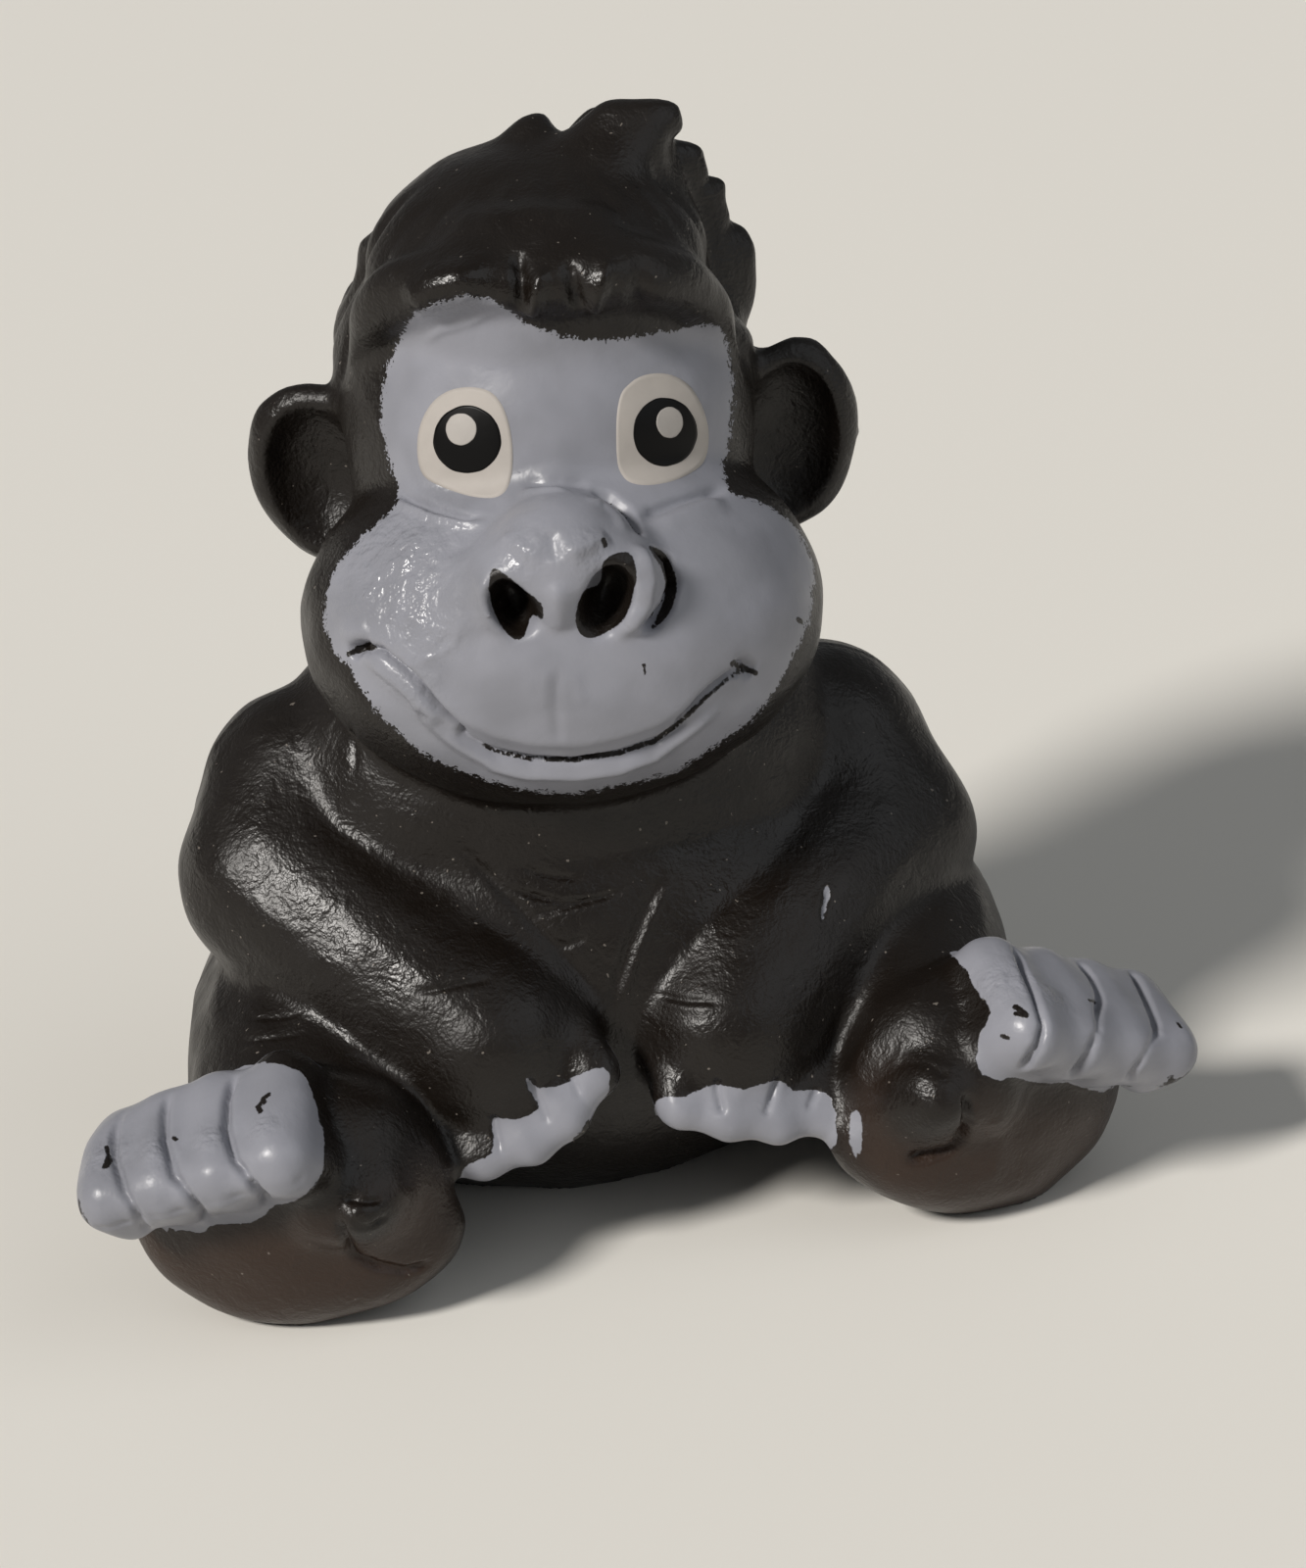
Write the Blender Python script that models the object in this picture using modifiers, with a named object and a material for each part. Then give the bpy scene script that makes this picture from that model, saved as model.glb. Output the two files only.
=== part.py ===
"""Sitting gorilla figurine, moulded in one piece of soft PVC.

The figure faces -Y, sits on the plane z = 0 and has its origin under the middle of its seat.
Lumps and tapering limbs are laid over each other, as clay is on an armature. A voxel remesh fuses
them into one skin, a light smoothing gives the mould's small fillets, and cutters then carve the
mouth, nostrils and ears. Sizes are in metres. The right side is the figure's own right, at -X.
"""

import math

import bmesh
import bpy
from mathutils import Euler, Matrix, Vector

# Trunk
BELLY_WIDTH = 0.0250
BELLY_DEPTH = 0.0180
BELLY_HEIGHT = 0.0200
BELLY_SINK = 0.0015
CHEST_WIDTH = 0.0210
CHEST_DEPTH = 0.0150
CHEST_HEIGHT = 0.0150
CHEST_LIFT = 0.0060
BACK_SET = 0.0010
NAPE_WIDTH = 0.0140
NAPE_DEPTH = 0.0112
NAPE_HEIGHT = 0.0140
NAPE_BACK = 0.0016
NAPE_RISE = 0.0195

# Head
HEAD_TURN = 10
HEAD_SIDE = 0.0009
HEAD_BACK = 0.0005
HEAD_RISE = 0.0275
SKULL_WIDTH = 0.0146
SKULL_DEPTH = 0.0150
SKULL_HEIGHT = 0.0160
FACE_WIDTH = 0.0136
FACE_STAND = 0.0074
FACE_HEIGHT = 0.0140
FACE_DROP = 0.0006
MUZZLE_WIDTH = 0.0180
MUZZLE_DEPTH = 0.0150
MUZZLE_HEIGHT = 0.0128
MUZZLE_DROP = 0.0052
MUZZLE_STAND = 0.0120
BROW_THICK = 0.0022
BROW_RISE = 0.0076
FRINGE_WIDTH = 0.0118
FRINGE_DEPTH = 0.0118
FRINGE_HEIGHT = 0.0076

# Nose and mouth
NOSE_WIDTH = 0.0060
NOSE_HEIGHT = 0.0046
NOSE_SIDE = 0.0003
NOSE_RISE = 0.0039
NOSE_STAND = 0.0017
BRIDGE_THICK = 0.0026
NOSTRIL_WIDTH = 0.0017
NOSTRIL_HEIGHT = 0.0027
NOSTRIL_SPACING = 0.0031
NOSTRIL_DEPTH = 0.0030
NOSTRIL_UNLIKE = 0.08
MOUTH_WIDTH = 0.0130
MOUTH_SIDE = -0.0003
MOUTH_DROP = 0.0026
MOUTH_CURVE = 0.0023
MOUTH_LEAN = 5.5
MOUTH_GROOVE = 0.0007

# Ears
EAR_WIDTH = 0.0054
EAR_HEIGHT = 0.0070
EAR_THICK = 0.0026
EAR_BACK = 0.0005
EAR_DROP = 0.0013
EAR_RIM = 0.0007
EAR_SINK = 0.0019

# Arms
ARM_THICK = 0.0080
WRIST_THICK = 0.0066
HAND_WIDTH = 0.0074
HAND_THICK = 0.0046
HAND_LENGTH = 0.0078
FINGER_THICK = 0.0019
FINGER_LENGTH = 0.0022
FINGERS = 4

# Legs
THIGH_THICK = 0.0104
SHIN_THICK = 0.0086
FOOT_WIDTH = 0.0114
FOOT_HEIGHT = 0.0094
FOOT_DEPTH = 0.0060
TOE_THICK = 0.0027
TOE_SHRINK = 0.00015
TOE_OVERLAP = 0.0005
TOE_LENGTH = 0.0030
TOES = 4
BIG_TOE_THICK = 0.0032
BIG_TOE_LENGTH = 0.0046
BIG_TOE_IN = 0.0026

# Fusing and finish
CLAY_VOXEL = 0.00028
FILLET_PASSES = 3
SKIN_VOXEL = 0.00022
EDGE_PASSES = 2
SKIN_FACES = 11400
FLOOR_DEPTH = 0.0030

# Where each limb bends, out from the middle plane, forward of it and up from the floor
ARMS = {
    -1: {
        "shoulder": (0.0086, -0.0012, 0.0146),
        "elbow": (0.0100, 0.0010, 0.0126),
        "forearm": (0.0062, 0.0050, 0.0098),
        "wrist": (0.0042, 0.0074, 0.0084),
        "knuckles": (0.0033, 0.0091, 0.0069),
        "tilt": 32,
    },
    1: {
        "shoulder": (0.0096, -0.0012, 0.0136),
        "elbow": (0.0104, 0.0008, 0.0110),
        "forearm": (0.0066, 0.0050, 0.0092),
        "wrist": (0.0043, 0.0072, 0.0074),
        "knuckles": (0.0043, 0.0090, 0.0059),
        "tilt": -10,
    },
}
LEGS = {
    -1: {
        "hip": (0.0085, -0.0025, 0.0052),
        "knee": (0.0096, 0.0030, 0.0064),
        "ankle": (0.0104, 0.0065, 0.0052),
        "foot": (0.0118, 0.0092, 0.0045),
        "splay": 16,
        "roll": 10,
        "first_toe": 0.0012,
    },
    1: {
        "hip": (0.0108, -0.0020, 0.0053),
        "knee": (0.0104, 0.0030, 0.0060),
        "ankle": (0.0108, 0.0060, 0.0052),
        "foot": (0.0129, 0.0087, 0.0044),
        "splay": 20,
        "roll": 21,
        "first_toe": 0.0016,
    },
}

# Locks of hair, in mm: root, bend and tip as side, back and rise from the skull's middle, then thicknesses
LOCKS = (
    ((0.5, -1.0, 3.5), (1.4, 0.0, 7.2), (4.1, 0.8, 10.2), 10.8, 7.0, 1.9),
    ((0.8, -0.5, 5.0), (2.0, 0.2, 8.2), (3.0, 0.8, 10.0), 8.0, 5.2, 2.4),
    ((-1.2, 1.0, 3.5), (-1.0, 1.2, 7.4), (0.0, 1.5, 9.6), 10.4, 6.2, 2.0),
    ((-2.6, 1.5, 3.0), (-3.6, 1.6, 6.1), (-3.2, 1.8, 8.2), 8.6, 5.0, 1.6),
    ((-3.6, 2.0, 2.0), (-5.0, 1.8, 4.6), (-5.4, 1.8, 6.2), 7.2, 3.6, 1.4),
    ((2.8, 1.4, 4.0), (4.4, 1.5, 7.4), (5.1, 1.6, 8.8), 6.4, 3.0, 1.3),
    ((3.4, 2.0, 3.0), (5.3, 2.0, 5.8), (5.9, 2.0, 7.2), 6.2, 3.0, 1.3),
    ((3.8, 2.2, 1.0), (5.9, 2.2, 3.6), (6.5, 2.2, 5.0), 6.0, 2.6, 1.2),
    ((0.5, 2.8, 3.0), (1.2, 5.0, 6.2), (2.4, 5.6, 8.8), 9.0, 5.4, 1.6),
    ((-1.4, 3.0, 1.0), (-1.8, 6.2, 3.6), (-1.2, 7.0, 6.2), 8.6, 4.8, 1.6),
    ((2.2, 3.2, 0.0), (3.0, 6.4, 1.8), (3.8, 7.4, 4.4), 8.4, 4.2, 1.5),
    ((-2.8, 3.0, -1.6), (-3.8, 6.2, 0.2), (-3.8, 7.4, 2.8), 8.0, 4.0, 1.4),
    ((0.0, 3.4, -3.0), (0.2, 7.0, -1.4), (0.8, 8.6, 1.2), 8.4, 4.2, 1.5),
    ((-3.6, 1.0, -0.6), (-5.8, 3.6, 1.4), (-6.0, 4.6, 3.8), 7.0, 3.4, 1.3),
    ((3.4, 2.0, -2.0), (5.4, 4.8, -0.6), (5.8, 5.9, 1.8), 7.0, 3.6, 1.3),
)
MM = 0.001


def egg(clay, size, place, turn=(0, 0, 0), frame=Matrix()):
    """Adds an egg-shaped lump: a sphere stretched to its full width, depth and height."""
    turned = Euler([math.radians(a) for a in turn]).to_matrix().to_4x4()
    stretched = Matrix.Diagonal((*size, 1))
    ball = bmesh.new()
    whole = frame @ Matrix.Translation(place) @ turned @ stretched
    bmesh.ops.create_uvsphere(ball, u_segments=64, v_segments=32, radius=0.5, matrix=whole)
    lump = bpy.data.meshes.new("lump")
    ball.to_mesh(lump)
    ball.free()
    clay.from_mesh(lump)
    bpy.data.meshes.remove(lump)


def limb(clay, points, thicks, frame=Matrix()):
    """Adds a round limb that follows the points and tapers from one thickness to the next."""
    curve = bpy.data.curves.new("limb_line", "CURVE")
    curve.dimensions = "3D"
    curve.bevel_depth = 0.5
    curve.bevel_resolution = 6
    curve.use_fill_caps = True
    curve.resolution_u = 8
    spline = curve.splines.new("NURBS")
    spline.points.add(len(points) - 1)
    for dot, place, thick in zip(spline.points, points, thicks):
        dot.co = (*place, 1)
        dot.radius = thick
    spline.order_u = min(3, len(points))
    spline.use_endpoint_u = True
    carrier = bpy.data.objects.new("limb_line", curve)
    tube = bpy.data.meshes.new_from_object(carrier)
    tube.transform(frame)
    clay.from_mesh(tube)
    bpy.data.objects.remove(carrier)
    bpy.data.curves.remove(curve)
    bpy.data.meshes.remove(tube)
    for place, thick in ((points[0], thicks[0]), (points[-1], thicks[-1])):
        egg(clay, (thick, thick, thick), place, frame=frame)


def outward(side, spot):
    """A place given as out, forward and up, on one side of the body."""
    out, forward, up = spot
    return Vector((side * out, -forward, up))


def head_frame():
    """The head's own frame: x to its left, y to its back, from the middle of the skull."""
    place = Matrix.Translation((HEAD_SIDE, HEAD_BACK, HEAD_RISE))
    return place @ Matrix.Rotation(-math.radians(HEAD_TURN), 4, "Z")


def muzzle_middle():
    return Vector((0, MUZZLE_DEPTH / 2 - MUZZLE_STAND, -MUZZLE_DROP))


def on_muzzle(side, rise, sink=0.0):
    """The point of the muzzle's front at a place beside and above its middle."""
    across = 2 * side / MUZZLE_WIDTH
    up = 2 * rise / MUZZLE_HEIGHT
    bulge = math.sqrt(max(0.0, 1 - across**2 - up**2))
    front = Vector((side, sink - bulge * MUZZLE_DEPTH / 2, rise))
    return muzzle_middle() + front


def add_trunk(clay):
    belly = Vector((0, BACK_SET, BELLY_HEIGHT / 2 - BELLY_SINK))
    egg(clay, (BELLY_WIDTH, BELLY_DEPTH, BELLY_HEIGHT), belly)
    egg(clay, (CHEST_WIDTH, CHEST_DEPTH, CHEST_HEIGHT), belly + Vector((0, 0, CHEST_LIFT)))
    egg(clay, (NAPE_WIDTH, NAPE_DEPTH, NAPE_HEIGHT), (HEAD_SIDE / 2, NAPE_BACK, NAPE_RISE))


def add_head(clay):
    frame = head_frame()
    egg(clay, (SKULL_WIDTH, SKULL_DEPTH, SKULL_HEIGHT), (0, 0, 0), frame=frame)
    face_depth = SKULL_DEPTH
    face = (0, face_depth / 2 - FACE_STAND, -FACE_DROP)
    egg(clay, (FACE_WIDTH, face_depth, FACE_HEIGHT), face, frame=frame)
    egg(clay, (MUZZLE_WIDTH, MUZZLE_DEPTH, MUZZLE_HEIGHT), muzzle_middle(), frame=frame)
    half = FACE_WIDTH / 2
    brow = [
        (-half * 0.90, -FACE_STAND * 0.10, BROW_RISE * 0.34),
        (-half * 0.84, -FACE_STAND * 0.52, BROW_RISE * 0.80),
        (-half * 0.46, -FACE_STAND * 0.78, BROW_RISE),
        (-half * 0.12, -FACE_STAND * 0.84, BROW_RISE * 0.93),
        (half * 0.20, -FACE_STAND * 0.84, BROW_RISE * 0.97),
        (half * 0.55, -FACE_STAND * 0.76, BROW_RISE * 0.96),
        (half * 0.86, -FACE_STAND * 0.50, BROW_RISE * 0.76),
        (half * 0.90, -FACE_STAND * 0.10, BROW_RISE * 0.30),
    ]
    swell = (0.5, 0.9, 1.15, 0.75, 1.1, 1.1, 0.9, 0.5)
    limb(clay, brow, [BROW_THICK * share for share in swell], frame=frame)


def add_hair(clay):
    frame = head_frame()
    fringe = (0, -FACE_STAND * 0.88 + FRINGE_DEPTH / 2, BROW_RISE * 0.80)
    egg(clay, (FRINGE_WIDTH, FRINGE_DEPTH, FRINGE_HEIGHT), fringe, turn=(10, 0, 0), frame=frame)
    half = FACE_WIDTH / 2
    hairline = [
        (-half * 0.60, -FACE_STAND * 0.15, BROW_RISE * 0.75),
        (-half * 0.38, -FACE_STAND * 0.55, BROW_RISE * 1.05),
        (0, -FACE_STAND * 0.60, BROW_RISE * 1.05),
        (half * 0.40, -FACE_STAND * 0.55, BROW_RISE * 1.05),
        (half * 0.62, -FACE_STAND * 0.15, BROW_RISE * 0.75),
    ]
    limb(clay, hairline, [BROW_THICK * share for share in (0.6, 1.1, 1.3, 1.1, 0.6)], frame=frame)
    for root, bend, tip, *thicks in LOCKS:
        line = [Vector(place) * MM for place in (root, bend, tip)]
        limb(clay, line, [thick * MM for thick in thicks], frame=frame)


def add_nose(clay):
    frame = head_frame()
    nose = on_muzzle(NOSE_SIDE, NOSE_RISE, NOSE_STAND / 2)
    egg(clay, (NOSE_WIDTH * 0.8, 3 * NOSE_STAND, NOSE_HEIGHT), nose, turn=(-12, 0, 0), frame=frame)
    wing = NOSTRIL_SPACING / 2
    for side in (-1, 1):
        egg(
            clay,
            (NOSE_WIDTH * 0.6, 3 * NOSE_STAND, NOSTRIL_HEIGHT * 1.5),
            nose + Vector((side * wing, 0, -NOSE_HEIGHT * 0.16)),
            turn=(-12, side * 18, 0),
            frame=frame,
        )
    limb(
        clay,
        ((0, -FACE_STAND + BRIDGE_THICK / 2, 0), nose + Vector((0, BRIDGE_THICK / 4, 0))),
        (BRIDGE_THICK, BRIDGE_THICK * 1.5),
        frame=frame,
    )


def ear_middle(side):
    out = SKULL_WIDTH / 2 + EAR_WIDTH / 2 - EAR_SINK
    return Vector((side * out, EAR_BACK, -EAR_DROP))


def add_ears(clay):
    for side in (-1, 1):
        size = (EAR_WIDTH, EAR_THICK, EAR_HEIGHT)
        egg(clay, size, ear_middle(side), turn=(0, side * 12, side * 15), frame=head_frame())
        lobe = ear_middle(side) + Vector((-side * EAR_WIDTH * 0.22, 0, -EAR_HEIGHT * 0.40))
        limb(clay, (ear_middle(side), lobe), (EAR_THICK, EAR_THICK * 0.9), frame=head_frame())


def add_arm(clay, side):
    arm = ARMS[side]
    joints = [outward(side, arm[name]) for name in ("shoulder", "elbow", "forearm", "wrist")]
    limb(clay, joints[:2], (ARM_THICK, ARM_THICK * 0.97))
    limb(clay, joints[1:], (ARM_THICK * 0.97, ARM_THICK, WRIST_THICK))
    knuckles = outward(side, arm["knuckles"])
    reach = (knuckles - joints[-1]).normalized()
    across = Matrix.Rotation(-math.radians(arm["tilt"]), 3, "Y") @ Vector((1, 0, 0))
    turned = Matrix((across, across.cross(reach), reach)).transposed()
    hand = Matrix.Translation(knuckles) @ turned.to_4x4()
    palm = (0, 0, FINGER_THICK * 0.3 - HAND_LENGTH / 2)
    egg(clay, (HAND_WIDTH, HAND_THICK, HAND_LENGTH), palm, frame=hand)
    pitch = (HAND_WIDTH * 0.92 - FINGER_THICK) / (FINGERS - 1)
    for number in range(FINGERS):
        beside = (number - (FINGERS - 1) / 2) * pitch
        droop = 4 * (beside / HAND_WIDTH) ** 2 * FINGER_THICK * 0.6
        root = (beside, 0, -FINGER_LENGTH)
        tip = (beside, 0, FINGER_LENGTH - FINGER_THICK / 2 - droop)
        limb(clay, (root, tip), (FINGER_THICK, FINGER_THICK), frame=hand)


def foot_frame(side):
    leg = LEGS[side]
    splay = Matrix.Rotation(side * math.radians(leg["splay"]), 4, "Z")
    roll = Matrix.Rotation(side * math.radians(leg["roll"]), 4, "Y")
    return Matrix.Translation(outward(side, leg["foot"])) @ splay @ roll


def add_leg(clay, side):
    leg = LEGS[side]
    joints = [outward(side, leg[name]) for name in ("hip", "knee", "ankle")]
    limb(clay, joints, (THIGH_THICK, THIGH_THICK, SHIN_THICK))
    foot = foot_frame(side)
    egg(clay, (FOOT_WIDTH, FOOT_DEPTH, FOOT_HEIGHT), (0, 0, 0), frame=foot)
    heel = (-side * FOOT_WIDTH * 0.05, 0, -FOOT_HEIGHT * 0.23)
    egg(clay, (FOOT_WIDTH * 0.92, FOOT_DEPTH * 0.92, FOOT_HEIGHT * 0.56), heel, frame=foot)
    instep = (-side * FOOT_WIDTH * 0.22, 0, FOOT_HEIGHT * 0.10)
    egg(clay, (FOOT_WIDTH * 0.50, FOOT_DEPTH, FOOT_HEIGHT * 0.62), instep, frame=foot)


def add_toes(clay, side):
    foot = foot_frame(side)
    beside = -side * LEGS[side]["first_toe"]
    for number in range(TOES):
        thick = TOE_THICK - number * TOE_SHRINK
        top = FOOT_HEIGHT * 0.46 - number * TOE_SHRINK
        root = Vector((beside, -FOOT_DEPTH * 0.12, top))
        knuckle = Vector((beside - side * thick * 0.05, -FOOT_DEPTH * 0.66, top - thick * 0.42))
        tip = Vector((beside - side * thick * 0.22, -FOOT_DEPTH * 0.54, top - TOE_LENGTH + thick / 2))
        limb(clay, (root, knuckle), (thick, thick * 1.04), frame=foot)
        limb(clay, (knuckle, tip), (thick * 1.04, thick * 0.92), frame=foot)
        beside += side * (thick - TOE_OVERLAP)
    half = (BIG_TOE_LENGTH - BIG_TOE_THICK) / 2
    big_toe = [
        (-side * (BIG_TOE_IN - step * half), -FOOT_DEPTH * 0.38, FOOT_HEIGHT * (0.05 + 0.02 * step))
        for step in (-1, 1)
    ]
    limb(clay, big_toe, (BIG_TOE_THICK, BIG_TOE_THICK), frame=foot)


def mouth_line():
    """Points of the smile on the muzzle, from its right corner to its left."""
    steps = 12
    points = []
    for step in range(steps + 1):
        share = 2 * step / steps - 1
        side = MOUTH_SIDE + share * MOUTH_WIDTH / 2
        rise = -MOUTH_DROP + MOUTH_CURVE * share**2 - side * math.tan(math.radians(MOUTH_LEAN))
        points.append(on_muzzle(side, rise))
    return points


def add_cutters(clay):
    frame = head_frame()
    points = mouth_line()
    limb(clay, points, [MOUTH_GROOVE] * len(points), frame=frame)
    nose = on_muzzle(NOSE_SIDE / 2, NOSE_RISE - NOSE_HEIGHT * 0.18, -NOSE_STAND)
    for side in (-1, 1):
        swell = 1 + side * NOSTRIL_UNLIKE
        egg(
            clay,
            (NOSTRIL_WIDTH * swell, 2 * NOSTRIL_DEPTH, NOSTRIL_HEIGHT * swell),
            nose + Vector((side * NOSTRIL_SPACING / 2, 0, 0)),
            turn=(0, side * 24, 0),
            frame=frame,
        )
        hollow = (EAR_WIDTH - 2 * EAR_RIM, EAR_THICK, EAR_HEIGHT - 2 * EAR_RIM)
        egg(
            clay,
            hollow,
            ear_middle(side) + Vector((0, -EAR_THICK * 0.42, 0)),
            turn=(0, side * 12, side * 15),
            frame=frame,
        )


def object_of(name, fill, collection):
    """A mesh object made from the lumps that fill adds."""
    clay = bmesh.new()
    fill(clay)
    mesh = bpy.data.meshes.new(name)
    clay.to_mesh(mesh)
    clay.free()
    obj = bpy.data.objects.new(name, mesh)
    collection.objects.link(obj)
    return obj


def hide_as_cutter(obj):
    obj.hide_render = True
    obj.display_type = "WIRE"


def add_figure(clay):
    add_trunk(clay)
    add_head(clay)
    add_hair(clay)
    add_nose(clay)
    add_ears(clay)
    for side in (-1, 1):
        add_arm(clay, side)
        add_leg(clay, side)
        add_toes(clay, side)


def fuse(obj, voxel, passes):
    remesh = obj.modifiers.new("fuse", "REMESH")
    remesh.mode = "VOXEL"
    remesh.voxel_size = voxel
    remesh.use_smooth_shade = True
    smooth = obj.modifiers.new("fillet", "SMOOTH")
    smooth.factor = 0.5
    smooth.iterations = passes


def fuse_cutter(obj):
    """Makes one clean body of the overlapping lumps that the cutter is laid up from."""
    remesh = obj.modifiers.new("fuse", "REMESH")
    remesh.mode = "VOXEL"
    remesh.voxel_size = SKIN_VOXEL / 2


def cut(obj, cutter):
    boolean = obj.modifiers.new("cut_" + cutter.name, "BOOLEAN")
    boolean.operation = "DIFFERENCE"
    boolean.object = cutter


def thin(obj):
    """Thins the skin to the wanted number of faces, fewest where it is flattest."""
    graph = bpy.context.evaluated_depsgraph_get()
    mesh = obj.evaluated_get(graph).to_mesh()
    mesh.calc_loop_triangles()
    share = min(1.0, SKIN_FACES / len(mesh.loop_triangles))
    decimate = obj.modifiers.new("thin", "DECIMATE")
    decimate.ratio = share
    decimate.use_collapse_triangulate = True


def soft_pvc():
    material = bpy.data.materials.new("black_pvc")
    material.use_nodes = True
    shader = material.node_tree.nodes["Principled BSDF"]
    shader.inputs["Base Color"].default_value = (0.012, 0.011, 0.011, 1)
    shader.inputs["Roughness"].default_value = 0.42
    shader.inputs["Metallic"].default_value = 0.0
    return material


def floor_block(collection):
    bpy.ops.mesh.primitive_cube_add(size=1)
    block = bpy.context.object
    block.name = "floor_block"
    span = 3 * FOOT_WIDTH + 2 * BELLY_WIDTH
    block.data.transform(Matrix.Diagonal((span, span, FLOOR_DEPTH, 1)))
    block.location = (0, 0, -FLOOR_DEPTH / 2)
    for holder in block.users_collection:
        holder.objects.unlink(block)
    collection.objects.link(block)
    return block


def main():
    for obj in list(bpy.data.objects):
        bpy.data.objects.remove(obj)
    figure_collection = bpy.data.collections.new("gorilla_figurine")
    cutter_collection = bpy.data.collections.new("cutters")
    for collection in (figure_collection, cutter_collection):
        bpy.context.scene.collection.children.link(collection)
    figure = object_of("gorilla_figure", add_figure, figure_collection)
    carving = object_of("carving", add_cutters, cutter_collection)
    block = floor_block(cutter_collection)
    hide_as_cutter(carving)
    hide_as_cutter(block)
    fuse_cutter(carving)
    fuse(figure, CLAY_VOXEL, FILLET_PASSES)
    cut(figure, carving)
    fuse(figure, SKIN_VOXEL, EDGE_PASSES)
    thin(figure)
    cut(figure, block)
    figure.data.materials.append(soft_pvc())


main()
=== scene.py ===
import math
import bpy
import numpy as np
from mathutils import Matrix, Vector
from mathutils.bvhtree import BVHTree


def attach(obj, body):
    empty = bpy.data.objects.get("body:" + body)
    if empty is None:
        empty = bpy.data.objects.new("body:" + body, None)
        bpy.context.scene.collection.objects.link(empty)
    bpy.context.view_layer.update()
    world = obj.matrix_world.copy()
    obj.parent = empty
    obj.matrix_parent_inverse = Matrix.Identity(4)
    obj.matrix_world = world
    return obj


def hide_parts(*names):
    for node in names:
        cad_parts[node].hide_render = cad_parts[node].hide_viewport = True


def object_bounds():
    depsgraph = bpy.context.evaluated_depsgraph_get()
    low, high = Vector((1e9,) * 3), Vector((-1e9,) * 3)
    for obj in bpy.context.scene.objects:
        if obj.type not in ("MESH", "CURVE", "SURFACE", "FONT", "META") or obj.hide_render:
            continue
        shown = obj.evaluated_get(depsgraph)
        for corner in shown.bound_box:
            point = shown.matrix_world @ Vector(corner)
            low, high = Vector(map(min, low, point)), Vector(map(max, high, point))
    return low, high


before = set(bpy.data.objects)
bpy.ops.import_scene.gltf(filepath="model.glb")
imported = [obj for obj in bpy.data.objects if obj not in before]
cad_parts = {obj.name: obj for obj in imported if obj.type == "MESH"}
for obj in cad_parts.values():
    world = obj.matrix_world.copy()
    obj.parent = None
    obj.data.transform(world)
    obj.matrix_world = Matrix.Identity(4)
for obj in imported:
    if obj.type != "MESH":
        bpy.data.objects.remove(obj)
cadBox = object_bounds()
scene = bpy.context.scene
scene.view_settings.view_transform = "Standard"
mm = 0.001
print("frame loaded")


# everything traced below is in pixels of this camera's picture
camera = {
    "azimuth": -9.0,  # degrees round to the figure's right
    "elevation": 24.0,
    "roll": 4.5,
    "distance": 180.0,  # mm
    "pixelsPerMm": 28.6,
    "aim": (3.408, 0.0, 13.648),
    "picture": (1333, 1600),
    "sensor": 36,  # mm
}


def towards(azimuth, elevation):
    # direction in space from two angles in degrees, round from the front and up from level
    a, e = math.radians(azimuth), math.radians(elevation)
    return np.array([math.sin(a) * math.cos(e), -math.cos(a) * math.cos(e), math.sin(e)])


def cameraAxes():
    # right, up and back of the camera, level at first and then rolled, and its place in mm
    back = towards(camera["azimuth"], camera["elevation"])
    r = math.radians(camera["roll"])
    side = np.cross(-back, [0, 0, 1])
    side /= np.linalg.norm(side)
    rise = np.cross(side, -back)
    right = side * math.cos(r) - rise * math.sin(r)
    up = side * math.sin(r) + rise * math.cos(r)
    return right, up, back, np.array(camera["aim"]) + back * camera["distance"]


camRight, camUp, camBack, camPlace = cameraAxes()
focalPixels = camera["pixelsPerMm"] * camera["distance"]


def toPixels(points):
    # perspective: offset across and up, over the depth, times the focal length in pixels
    v = points - camPlace
    depth = -(v @ camBack)
    return np.stack([camera["picture"][0] / 2 + focalPixels * (v @ camRight) / depth,
                     camera["picture"][1] / 2 - focalPixels * (v @ camUp) / depth], 1)


def sightThrough(pixel):
    # the line of sight: focal length ahead, plus the pixel's offset from the picture's middle
    across, down = pixel[0] - camera["picture"][0] / 2, pixel[1] - camera["picture"][1] / 2
    return Vector(-camBack * focalPixels + camRight * across - camUp * down).normalized()


lensData = bpy.data.cameras.new("camera")
lensData.sensor_width = camera["sensor"]
lensData.lens = focalPixels * camera["sensor"] / max(camera["picture"])
lensData.clip_start = 0.01
cameraObject = bpy.data.objects.new("camera", lensData)
turn = Matrix([camRight, camUp, camBack]).transposed().to_4x4()
cameraObject.matrix_world = Matrix.Translation(Vector(camPlace) * mm) @ turn
scene.collection.objects.link(cameraObject)
scene.camera = cameraObject


def newObject(name, verts, faces):
    # a smooth object from points in mm and its faces
    mesh = bpy.data.meshes.new(name)
    mesh.from_pydata((np.array(verts) * mm).tolist(), [], faces)
    mesh.validate()
    mesh.polygons.foreach_set("use_smooth", np.ones(len(mesh.polygons), bool))
    mesh.update()
    obj = bpy.data.objects.new(name, mesh)
    scene.collection.objects.link(obj)
    return obj


def readAll(items, name, wide, kind=np.float32):
    # one property of every item of a mesh, a row each
    values = np.zeros(len(items) * wide, kind)
    items.foreach_get(name, values)
    return values.reshape(-1, wide)


def placesOf(mesh):
    # every point, in mm
    return readAll(mesh.vertices, "co", 3).astype(float) / mm


def normalsOf(mesh):
    # the way out at every point
    return readAll(mesh.vertex_normals, "vector", 3).astype(float)


def setPlaces(mesh, places):
    # moves every point to a place in mm
    mesh.vertices.foreach_set("co", (places * mm).astype(np.float32).ravel())
    mesh.update()


def trianglesOf(mesh):
    # the three corners of every triangle
    mesh.calc_loop_triangles()
    return readAll(mesh.loop_triangles, "vertices", 3, np.int32)


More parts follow.
